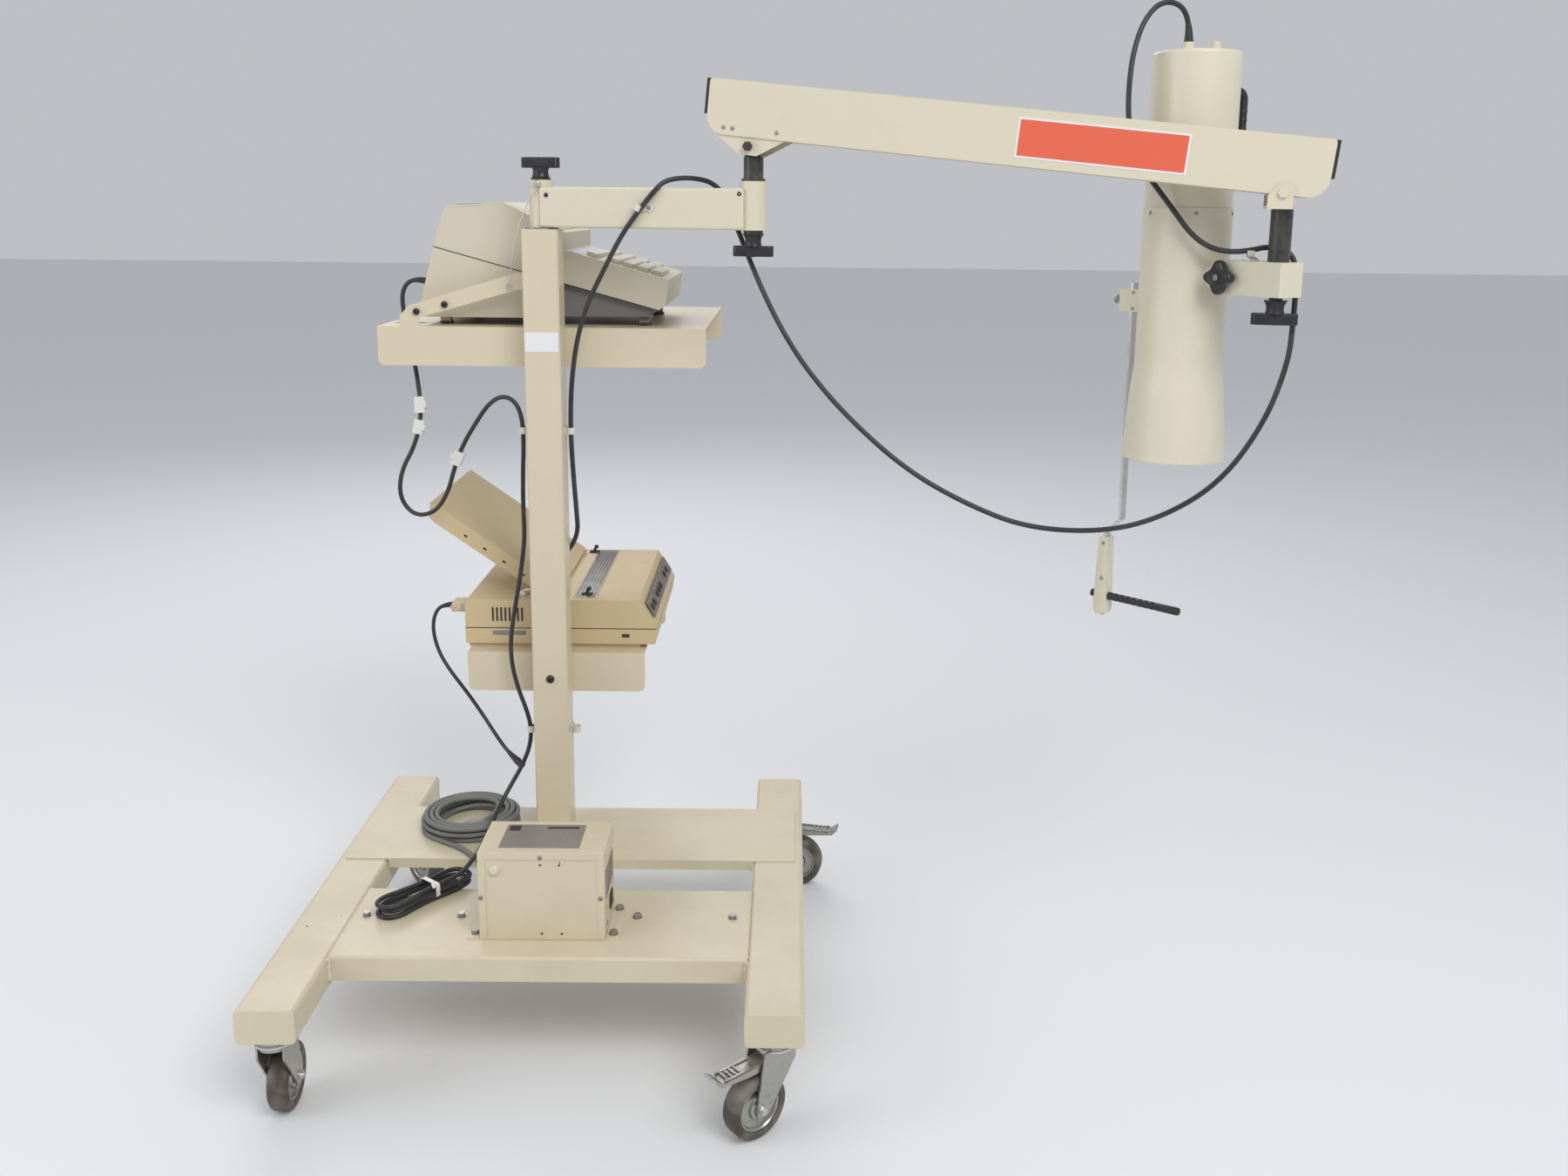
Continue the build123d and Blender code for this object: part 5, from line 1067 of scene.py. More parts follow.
# ---- base, column and shelves -------------------------------------------------------------------
def weld_line(bm, start, end, width):
    """A rippled weld bead from start to end."""
    start, end = Vector(start), Vector(end)
    count = max(8, int((end - start).length / 0.0022))
    points = []
    for k in range(count + 1):
        t = k / count
        wander = 0.0004 * sin(k * 1.7) + 0.0003 * sin(k * 0.61)
        points.append(start + (end - start) * t + Vector((wander, wander * 0.5, wander)))
    swept(bm, points, lambda k: width / 2 * (1 + 0.07 * (k % 2) + 0.06 * sin(k * 0.9)), 10)


class CART_OT_welds(bpy.types.Operator):
    """Painted weld beads between the frame's tubes and round the column's foot"""
    bl_idname = "cart.welds"
    bl_label = "Welds"

    def execute(self, context):
        width = fittings().weld
        bm = bmesh.new()
        left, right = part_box("left_rail")[1].x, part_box("right_rail")[0].x
        deck_low, deck_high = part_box("front_deck")
        tube_low, tube_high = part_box("rear_cross_tube")
        for x, way in ((left, 1), (right, -1)):
            for y in (deck_low.y - 0.001, deck_high.y + 0.001):
                weld_line(bm, (x + way * 0.001, y, deck_low.z + 0.003), (x + way * 0.001, y, deck_high.z - 0.004), width)
            for y in (tube_low.y - 0.001, tube_high.y + 0.001):
                weld_line(bm, (x + way * 0.001, y, tube_low.z + 0.004), (x + way * 0.001, y, 0.186), width * 0.9)
            weld_line(bm, (x + way * 0.001, deck_low.y + 0.006, deck_high.z - 0.0024),
                      (x + way * 0.001, deck_high.y - 0.006, deck_high.z - 0.0024), width * 0.6)
        foot = 0.0318
        for a, b in (((-1, -1), (1, -1)), ((1, -1), (1, 1)), ((1, 1), (-1, 1)), ((-1, 1), (-1, -1))):
            weld_line(bm, (a[0] * foot * 0.93, a[1] * foot * 0.93 + (a[1] == b[1]) * a[1] * 0.0022, PLATE_TOP),
                      (b[0] * foot * 0.93, b[1] * foot * 0.93 + (a[1] == b[1]) * a[1] * 0.0022, PLATE_TOP),
                      width * 0.8)
        piece("frame_welds", bm, "base", material("weld"), 60)

        bm = bmesh.new()
        for x in (-0.0290, 0.0290):
            weld_line(bm, (x, 0.0335, UPPER_SHELF - 0.068), (x, 0.0335, UPPER_SHELF - 0.046), width * 0.6)
            weld_line(bm, (x, 0.0335, LOWER_SHELF - 0.07), (x, 0.0335, LOWER_SHELF - 0.05), width * 0.6)
        piece("shelf_welds", bm, "base", material("weld"), 60)

        bm = bmesh.new()
        collar = 0.3595
        for behind in (-0.0225, 0.0225):
            weld_line(bm, on_arm(collar, behind * 0.99, 1.319), on_arm(collar, behind * 0.99, 1.383), width * 0.5)
        piece("elbow_collar_welds", bm, "swing", material("arm enamel"), 60)
        return {"FINISHED"}


class CART_OT_column_fittings(bpy.types.Operator):
    """Screws, the clips' screws, the column's blank label and the lock pin's bead chain"""
    bl_idname = "cart.column_fittings"
    bl_label = "Column fittings"

    def execute(self, context):
        screw = fittings().screw
        bm = bmesh.new()
        button_screw(bm, (0.0008, -0.03175, 0.508), (0, -1, 0), 0.0075)
        for x, z in ((-0.2314, 1.167), (-0.1812, 1.180)):
            button_screw(bm, (x, 0.02925, z), (0, -1, 0), 0.006)
        piece("column_screws", bm, "base", material("black plastic"))

        bm = bmesh.new()
        for level in (0.401, 0.961):
            for way in (-1, 1):
                button_screw(bm, (way * 0.03525, 0.015, level), (way, 0, 0), screw, socket=False)
        piece("clip_screws", bm, "base", material("screw"))

        bm = bmesh.new()
        place = frame_at((0, -0.03175, 1.121), (0, -1, 0), (1, 0, 0))
        prism(bm, rounded_outline(0.0585, 0.034, 0.0025), 0.00035, place)
        piece("column_label", bm, "base", material("white label"))

        points = [Vector(p) for p in ((0.004, -0.0232, 1.389), (-0.012, -0.0238, 1.372), (-0.03, -0.0235, 1.335),
                                      (-0.044, -0.016, 1.298), (-0.053, 0.002, 1.262), (-0.06, 0.018, 1.236),
                                      (-0.064, 0.026, 1.2165))]
        curve = bpy.data.curves.new("bead_chain_line", "CURVE")
        curve.dimensions = "3D"
        spline = curve.splines.new("NURBS")
        spline.points.add(len(points) - 1)
        for point, at in zip(spline.points, points):
            point.co = (*at, 1)
        spline.order_u = 3
        spline.use_endpoint_u = True
        holder = bpy.data.objects.new("bead_chain_line", curve)
        context.scene.collection.objects.link(holder)
        bpy.context.view_layer.update()
        mesh = bpy.data.meshes.new_from_object(holder.evaluated_get(context.evaluated_depsgraph_get()))
        line = [vertex.co.copy() for vertex in mesh.vertices]
        bpy.data.objects.remove(holder)
        bpy.data.meshes.remove(mesh)
        bead = fittings().bead
        total = run_length(line)
        bm = bmesh.new()
        count = int(total / (bead * 1.28))
        profile = [(bead / 2 * sin(radians(a)), -bead / 2 * cos(radians(a))) for a in range(0, 181, 30)]
        profile[0], profile[-1] = (0, -bead / 2), (0, bead / 2)
        for k in range(count):
            at, ahead = along(line, total * (k + 0.5) / count)
            turned(bm, profile, frame_at(at, ahead, ahead.orthogonal()), 10)
        swept(bm, stretch(line, 0, total, 40), 0.0006, 6)
        piece("bead_chain", bm, "base", material("bright steel"), 60)
        bm = bmesh.new()
        place = frame_at((-0.064, 0.028, 1.2125), (0, -1, 0), (1, 0, 0))
        ring = [place @ Vector((0.0055 * cos(a), 0.0055 * sin(a), 0.001)) for a in
                [2 * pi * k / 20 for k in range(20)]]
        swept(bm, ring, 0.0007, 6)
        piece("chain_ring", bm, "base", material("bright steel"), 60)
        return {"FINISHED"}


# ---- casters ------------------------------------------------------------------------------------
class CART_OT_casters(bpy.types.Operator):
    """Wheels with dished discs and rounded tyres, swivel races, axle nuts and ribs stamped in the pedals"""
    bl_idname = "cart.casters"
    bl_label = "Casters"

    def execute(self, context):
        f = fittings()
        for corner in CORNERS:
            roll, swivel = JOINTS[corner + "_roll"], JOINTS[corner + "_swivel"]
            centre = Vector(roll["pos_m"])
            axle = Vector(roll["axis"]).normalized()
            place = frame_at(centre, axle, UP)

            bm = bmesh.new()
            r, w, soft = 0.05, 0.016, f.tyre_round
            rows = [(0.0365, -w + 0.001), (0.041, -w)]
            for k in range(7):
                a = radians(90 * k / 6)
                rows.append((r - soft + soft * sin(a), -w + soft - soft * cos(a)))
            rows += [(r + 0.0, -0.004), (r + 0.0, 0.004)]
            for k in range(7):
                a = radians(90 * k / 6)
                rows.append((r - soft + soft * cos(a), w - soft + soft * sin(a)))
            rows += [(0.041, w), (0.0365, w - 0.001), (0.0365, -w + 0.001)]
            turned(bm, rows, place, 72)
            tyre = piece(corner + "_tyre", bm, corner + "_roller", material("tyre"), 50,
                         [corner + "_wheel"])

            bm = bmesh.new()
            dish = f.hub_dish
            for side in (-1, 1):
                rows = [(0.0365, 0.0085), (0.0362, 0.0138), (0.0345, 0.0142), (0.0328, 0.0128),
                        (0.0315, 0.0138 - dish), (0.022, 0.0125 - dish), (0.0185, 0.0118 - dish * 0.6),
                        (0.0165, 0.0136), (0.0135, 0.0142), (0.0125, 0.0148), (0.0122, 0.0175),
                        (0.006, 0.0176), (0.006, 0.0085)]
                side_place = place @ Matrix.Rotation(pi if side < 0 else 0, 4, "X")
                turned(bm, rows, side_place, 64)
                for k in range(6):
                    at = side_place @ Vector((0.0268 * cos(k * pi / 3), 0.0268 * sin(k * pi / 3), 0.0128 - dish))
                    button_screw(bm, at, side_place.to_3x3() @ UP, 0.0022, socket=False)
            piece(corner + "_hub", bm, corner + "_roller", material("zinc"), 40)

            bm = bmesh.new()
            for side in (-1, 1):
                out = axle * side
                nut = frame_at(centre + out * 0.021, out, UP)
                turned(bm, ((0, 0), (0.0075, 0), (0.0075, 0.001), (0.0068, 0.001, hexagon), (0.0068, 0.0034, hexagon),
                            (0.0058, 0.0042), (0.0042, 0.0042), (0.0042, 0.0052), (0, 0.0054)), nut, 24)
            top = Vector(swivel["pos_m"])
            turned(bm, ((0.0295, 0.0), (0.0312, -0.0012), (0.0312, -0.0042), (0.0295, -0.0055), (0.0272, -0.0055),
                        (0.0272, 0.0), (0.0295, 0.0)), frame_at(top, UP, (1, 0, 0)), 48)
            piece(corner + "_swivel_race", bm, corner + "_swivel", material("bright steel"), 40)

            brake = JOINTS[corner + "_brake"]
            hinge = Vector(brake["pos_m"])
            outward = Vector((centre.x - top.x, centre.y - top.y, 0)).normalized()
            bm = bmesh.new()
            pedal = frame_at(hinge, UP, outward)
            for side in (-0.0115, 0.0115):
                ribbon(bm, [pedal @ Vector((x, side, z)) for x, z in (
                    (0.02, 0.0052), (0.045, 0.0046), (0.068, 0.004), (0.08, 0.0052))], 0.0032, 0.0026,
                       pedal.to_3x3() @ Vector((0, 1, 0)))
            for k in range(4):
                ribbon(bm, [pedal @ Vector((0.05 + 0.008 * k, y, 0.0052)) for y in (-0.008, 0, 0.008)], 0.0028,
                       0.002, pedal.to_3x3() @ Vector((1, 0, 0)))
            piece(corner + "_pedal_ribs", bm, corner + "_brake", material("zinc"), 40)
        return {"FINISHED"}


# ---- arms ---------------------------------------------------------------------------------------
def t_knob(name, node, body, along_arm, face, way):
    """A moulded T-handled knob: a waisted neck, a ribbed cross bar and its stud."""
    place = frame_at(on_arm(along_arm, 0, face), UP * way, ARM_X)
    bm = bmesh.new()
    turned(bm, ((0, 0), (0.0172, 0), (0.0172, 0.0025), (0.0155, 0.004), (0.0135, 0.009), (0.0132, 0.015),
                (0.0146, 0.0205), (0, 0.0205)), place, 40)
    outline = []
    for end in (1, -1):
        for k in range(9):
            a = radians(-90 + 180 * k / 8)
            outline.append((end * (0.0262 + 0.0088 * cos(a)), end * 0.0088 * sin(a)))
    prism(bm, outline, 0.018, place @ Matrix.Translation((0, 0, 0.0198)), 0.0022, 3)
    for side in (-1, 1):
        for k in range(4):
            x = side * (0.0135 + 0.0042 * k)
            for y in (-0.0088, 0.0088):
                block(bm, (0.0018, 0.0012, 0.012), place @ Matrix.Translation((x, y, 0.029)), 0.0004)
    knob = piece(name, bm, body, material("black plastic"), 38, [node])
    bm = bmesh.new()
    turned(bm, ((0, -0.0235), (0.0046, -0.0235), (0.005, -0.0225), (0.005, 0.001), (0, 0.001)), place, 24)
    turned(bm, ((0, 0.0376), (0.004, 0.0376), (0.0042, 0.0381), (0.003, 0.0387), (0, 0.0388)), place, 24)
    piece(name + "_stud", bm, body, material("screw"), 40)
    return knob


class CART_OT_arm_fittings(bpy.types.Operator):
    """Clamp knobs, pins, cord clips, the lock pin and the blank warning plate"""
    bl_idname = "cart.arm_fittings"
    bl_label = "Arm fittings"

    def execute(self, context):
        t_knob("shoulder_t_knob", "shoulder_knob", "shoulder_knob", 0, 1.3974, 1)
        t_knob("elbow_t_knob", "elbow_knob", "elbow_knob", ELBOW_REACH, 1.3116, -1)
        t_knob("swivel_t_knob", "swivel_knob", "swivel_knob", END_REACH, 1.2226, -1)

        bm = bmesh.new()
        button_screw(bm, on_arm(0.362, -0.0235, 1.376), -ARM_Y, 0.0042)
        button_screw(bm, on_arm(0.02, -0.025, 1.3715), -ARM_Y, 0.0038)
        piece("swing_arm_screws", bm, "swing", material("black plastic"))

        # Lock pin on the collar, where the bead chain hangs.
        bm = bmesh.new()
        turned(bm, ((0, -0.012), (0.003, -0.012), (0.003, 0.0), (0.0062, 0.0005), (0.0062, 0.006), (0.005, 0.0072),
                    (0, 0.0074)), frame_at(on_arm(0.002, -0.0207, 1.3905), -ARM_Y, UP), 24)
        piece("lock_pin", bm, "swing", material("bright steel"), 40)

        # The cord's P-clip on the arm's front face.
        self.p_clip("arm_cord_clip", on_arm(0.188, -0.0322, 1.352), on_arm(0.206, -0.0262, 1.352), "swing",
                    -ARM_Y, Vector((-0.62, 0.02, -0.78)))
        self.p_clip("yoke_cord_clip", Vector((1.1495, -0.2535, 1.2925)), Vector((1.158, -0.251, 1.2825)), "yoke",
                    UP, Vector((0.97, -0.2, 0.05)))

        bm = bmesh.new()
        centre = on_cover(0.56, -0.0321, 0.0145 + 0.0437)
        place = frame_at(centre, -ARM_Y, COVER_X)
        prism(bm, rounded_outline(0.262, 0.062, 0.002), 0.0004, place)
        piece("warning_plate_edge", bm, "lift", material("white label"))
        bm = bmesh.new()
        prism(bm, rounded_outline(0.255, 0.055, 0.0015), 0.0003, place @ Matrix.Translation((0, 0, 0.0004)))
        piece("warning_plate", bm, "lift", material("warning plate"))

        # Turned-over hems along the cover's lower edges and the pins' washers.
        bm = bmesh.new()
        for behind in (-0.0305, 0.0305):
            swept(bm, [on_cover(x, behind, 0.0153) for x in (-0.042, 0.2, 0.5, 0.866)], 0.0016, 8)
        piece("cover_hem", bm, "lift", material("arm enamel"), 50)
        bm = bmesh.new()
        for behind, out in ((-0.0322, -1), (0.0322, 1)):
            turned(bm, ((0.0065, 0), (0.011, 0), (0.011, 0.0012), (0.0065, 0.0014)),
                   frame_at(on_cover(0, behind - out * 0.0048, 0), ARM_Y * out, UP), 32)
        for x in (-0.045, -0.03, 0.045):
            button_screw(bm, on_cover(x, -0.032, 0.026), -ARM_Y, 0.0032, socket=False)
        piece("cheek_rivets", bm, "lift", material("screw"), 40)

        # Ribs moulded into the black end caps.
        bm = bmesh.new()
        for x in (-0.0802, 0.9042):
            for rise in (0.05, 0.062, 0.074, 0.086, 0.098):
                block(bm, (0.0012, 0.05, 0.003),
                      frame_at(on_cover(x, 0, rise), COVER_UP, COVER_X), 0.0005)
        piece("arm_cap_ribs", bm, "lift", material("black plastic"))
        return {"FINISHED"}

    def p_clip(self, name, cord_at, foot_at, body, out, ahead):
        """A bent strap clip round a cord, with its screw."""
        ahead = ahead.normalized()
        place = frame_at(cord_at, ahead, Vector(out))
        bm = bmesh.new()
        ring = [place @ Vector((0.0062 * cos(a), 0.0062 * sin(a), 0))
                for a in [radians(-150 + 300 * k / 20) for k in range(21)]]
        foot = Vector(foot_at)
        ribbon(bm, [foot, (foot + ring[0]) / 2, *ring], 0.011, 0.0014, ahead)
        block(bm, (0.013, 0.011, 0.0026), frame_at(foot, out, ahead.cross(Vector(out))), 0.0006)
        piece(name, bm, body, material("nylon"), 45)
        bm = bmesh.new()
        button_screw(bm, foot + Vector(out) * 0.0013, out, fittings().screw, socket=False)
        piece(name + "_screw", bm, body, material("screw"))


# ---- probe --------------------------------------------------------------------------------------
def round_probe(radius, degrees_round, z):
    """A point on the probe's side."""
    a = radians(degrees_round)
    return PROBE_AT + Vector((radius * cos(a), radius * sin(a), z)), Vector((cos(a), sin(a), 0))


class CART_OT_probe_fittings(bpy.types.Operator):
    """The probe's seam, screws, glands, collimator rim, clamp knob and grip pads"""
    bl_idname = "cart.probe_fittings"
    bl_label = "Probe fittings"

    def execute(self, context):
        axis = frame_at(PROBE_AT, UP, (1, 0, 0))
        bm = bmesh.new()
        turned(bm, ((0.0712, 1.3585), (0.0719, 1.359), (0.0719, 1.3612), (0.0706, 1.3618), (0.0706, 1.3585),
                    (0.0712, 1.3585)), axis, 96)
        turned(bm, ((0.0846, 0.9496), (0.0853, 0.9505), (0.0847, 0.955), (0.084, 0.9552), (0.0838, 0.9496),
                    (0.0846, 0.9496)), axis, 96)
        piece("probe_rims", bm, "probe", material("probe enamel"), 30)

        bm = bmesh.new()
        for around in (200, 265, 330, 35, 80, 140):
            at, out = round_probe(0.0714, around, 1.353)
            button_screw(bm, at, out, 0.003, socket=False)
        piece("probe_screws", bm, "probe", material("screw"))

        bm = bmesh.new()
        for x, y, r in ((0.030, 0.006, 0.0075), (-0.015, 0.004, 0.009)):
            base = frame_at(PROBE_AT + Vector((x, y, 0)), UP, (1, 0, 0))
            turned(bm, ((0, 1.6062), (r + 0.004, 1.6062), (r + 0.004, 1.608), (r + 0.003, 1.609, hexagon),
                        (r + 0.003, 1.6125, hexagon), (r + 0.0004, 1.6135), (r + 0.0004, 1.6165)), base, 36)
        top = frame_at(PROBE_AT + Vector((0.03, 0.006, 1.6215)), UP, (1, 0, 0))
        turned(bm, ((0.0076, -0.001), (0.0076, 0.0012), (0.006, 0.0024), (0.0028, 0.003), (0, 0.0031)), top, 30)
        piece("cap_glands", bm, "probe", material("probe enamel"), 35)

        # The lead collimator shows as a dull ring up inside the bell.
        bm = bmesh.new()
        turned(bm, ((0.0452, 1.1398), (0.0668, 1.1398), (0.0668, 1.1376), (0.0475, 1.1376), (0.0452, 1.1392)),
               axis, 72)
        piece("collimator_face", bm, "probe", material("dull steel"), 40)

        # Four-lobed clamp knob.
        knob = JOINTS["tilt_clamp"]
        out = Vector(knob["axis"]).normalized()
        centre = Vector(knob["pos_m"])
        low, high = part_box("yoke_knob")
        side = 1 if ((low + high) / 2 - centre).dot(out) > 0 else -1
        face = out * side * 0.0295
        place = frame_at(centre + face, face, UP)
        bm = bmesh.new()
        turned(bm, ((0, -0.004), (0.012, -0.004), (0.012, 0.001), (0.0215, 0.0012, four_lobes),
                    (0.0262, 0.003, four_lobes), (0.027, 0.0065, four_lobes), (0.027, 0.0125, four_lobes),
                    (0.0262, 0.0165, four_lobes), (0.0225, 0.0192, four_lobes), (0.0125, 0.0192),
                    (0.0112, 0.0178), (0.0, 0.0174)), place, 96)
        piece("tilt_lobed_knob", bm, "yoke_knob", material("black plastic"), 50, ["yoke_knob"])
        bm = bmesh.new()
        turned(bm, ((0, 0.0172), (0.0052, 0.0172, hexagon), (0.0052, 0.0186, hexagon), (0, 0.0189)), place, 24)
        piece("tilt_knob_insert", bm, "yoke_knob", material("screw"), 40)

        # Feet of the carrying handle.
        bm = bmesh.new()
        for z in (1.430, 1.550):
            foot = frame_at(PROBE_AT + HANDLE_X * 0.0697 + UP * z, HANDLE_X, UP)
            turned(bm, ((0.0, 0), (0.0125, 0), (0.0125, 0.0018), (0.0105, 0.003), (0.0078, 0.0038), (0.0, 0.0038)),
                   foot, 36)
        for k in range(5):
            z = 1.462 + 0.014 * k
            ring = frame_at(PROBE_AT + HANDLE_X * 0.1015 + UP * z, UP, HANDLE_X)
            turned(bm, ((0.0068, -0.0022), (0.0076, -0.001), (0.0076, 0.001), (0.0068, 0.0022)), ring, 28)
        piece("handle_feet", bm, "probe", material("black plastic"), 40)
        return {"FINISHED"}


class CART_OT_distance_gauge(bpy.types.Operator):
    """The gauge's tapered cream grip, its black spacer rod, its scale strip and screws"""
    bl_idname = "cart.distance_gauge"
    bl_label = "Distance gauge"

    def execute(self, context):
        place = frame_at(PROBE_AT + GAUGE_Y * -0.011, GAUGE_Y, GAUGE_X)
        flip = -1 if (place.to_3x3() @ Vector((0, 1, 0))).z < 0 else 1
        grip_out = 0.118
        outline = ((grip_out - 0.007, 0.79), (grip_out + 0.009, 0.79), (grip_out + 0.012, 0.742),
                   (grip_out + 0.016, 0.663), (grip_out + 0.0145, 0.653), (grip_out + 0.012, 0.649),
                   (grip_out - 0.006, 0.649), (grip_out - 0.0095, 0.653), (grip_out - 0.01, 0.659))
        bm = bmesh.new()
        prism(bm, [(x, z * flip) for x, z in outline], 0.022, place, 0.0016, 3)
        piece("gauge_grip_shell", bm, "gauge", material("probe enamel"), 40, ["gauge_grip"])

        bm = bmesh.new()
        rod = frame_at(PROBE_AT + GAUGE_X * (grip_out + 0.026) + UP * 0.682, -GAUGE_X, UP)
        profile = [(0, 0), (0.0052, 0), (0.0066, 0.001), (0.007, 0.003), (0.007, 0.012)]
        for k in range(9):
            z = 0.03 + 0.012 * k
            profile += [(0.007, z), (0.0064, z + 0.0012), (0.0064, z + 0.0036), (0.007, z + 0.0048)]
        profile += [(0.007, 0.171), (0.0066, 0.174), (0.0052, 0.175), (0, 0.175)]
        turned(bm, profile, rod, 32)
        piece("gauge_rod", bm, "gauge", material("black plastic"), 40)

        bm = bmesh.new()
        for z in (0.779, 0.715):
            for side in (-1, 1):
                button_screw(bm, PROBE_AT + GAUGE_X * grip_out + GAUGE_Y * side * 0.011 + UP * z, GAUGE_Y * side,
                             0.0032, socket=False)
        turned(bm, ((0, 0), (0.0045, 0), (0.0045, 0.0026), (0.0038, 0.0034), (0, 0.0036)),
               frame_at(PROBE_AT + GAUGE_X * (grip_out + 0.002) + UP * 0.649, -UP, GAUGE_X), 20)
        piece("gauge_screws", bm, "gauge", material("screw"))

        # Etched divisions on the strip, without figures.
        bm = bmesh.new()
        for k in range(32):
            z = 0.84 + 0.01 * k
            wide = 0.012 if k % 5 == 0 else 0.007
            mark = frame_at(PROBE_AT + GAUGE_X * 0.0933 + GAUGE_Y * (0.0075 - wide / 2) + UP * z, GAUGE_X, UP)
            block(bm, (0.0006, wide, 0.0002), mark, 0.00005)
        piece("gauge_divisions", bm, "gauge", material("black plastic"))

        bm = bmesh.new()
        knob = frame_at(PROBE_AT + GAUGE_X * 0.1178 + UP * 1.207, GAUGE_X, UP)
        turned(bm, ((0, 0), (0.0068, 0), (0.0076, 0.001), (0.0076, 0.0065), (0.0068, 0.0078), (0, 0.008)), knob, 30)
        for z in (1.1935, 1.2205):
            for side in (-1, 1):
                button_screw(bm, PROBE_AT + GAUGE_X * 0.084 + GAUGE_Y * side * 0.015 + UP * z, GAUGE_Y * side,
                             0.0026, socket=False)
        piece("gauge_clamp_screws", bm, "probe", material("screw"), 40)
        return {"FINISHED"}


# ---- console ------------------------------------------------------------------------------------
FACE_SLOPE = radians(-15.3)
FACE_X = Vector((cos(FACE_SLOPE), 0, sin(FACE_SLOPE)))
FACE_UP = Vector((-sin(FACE_SLOPE), 0, cos(FACE_SLOPE)))
CONSOLE_NEAR, CONSOLE_FAR = 0.07, 0.4


def seam_height(x):
    """Height of the seam between the console's halves."""
    return 1.28 + (x + 0.207) * sin(FACE_SLOPE) / cos(FACE_SLOPE)


def key_face(x, y, rise=0.0):
    """A point on the sloping face that carries the keys."""
    return Vector((x, y, seam_height(x) + 0.06)) + FACE_UP * rise


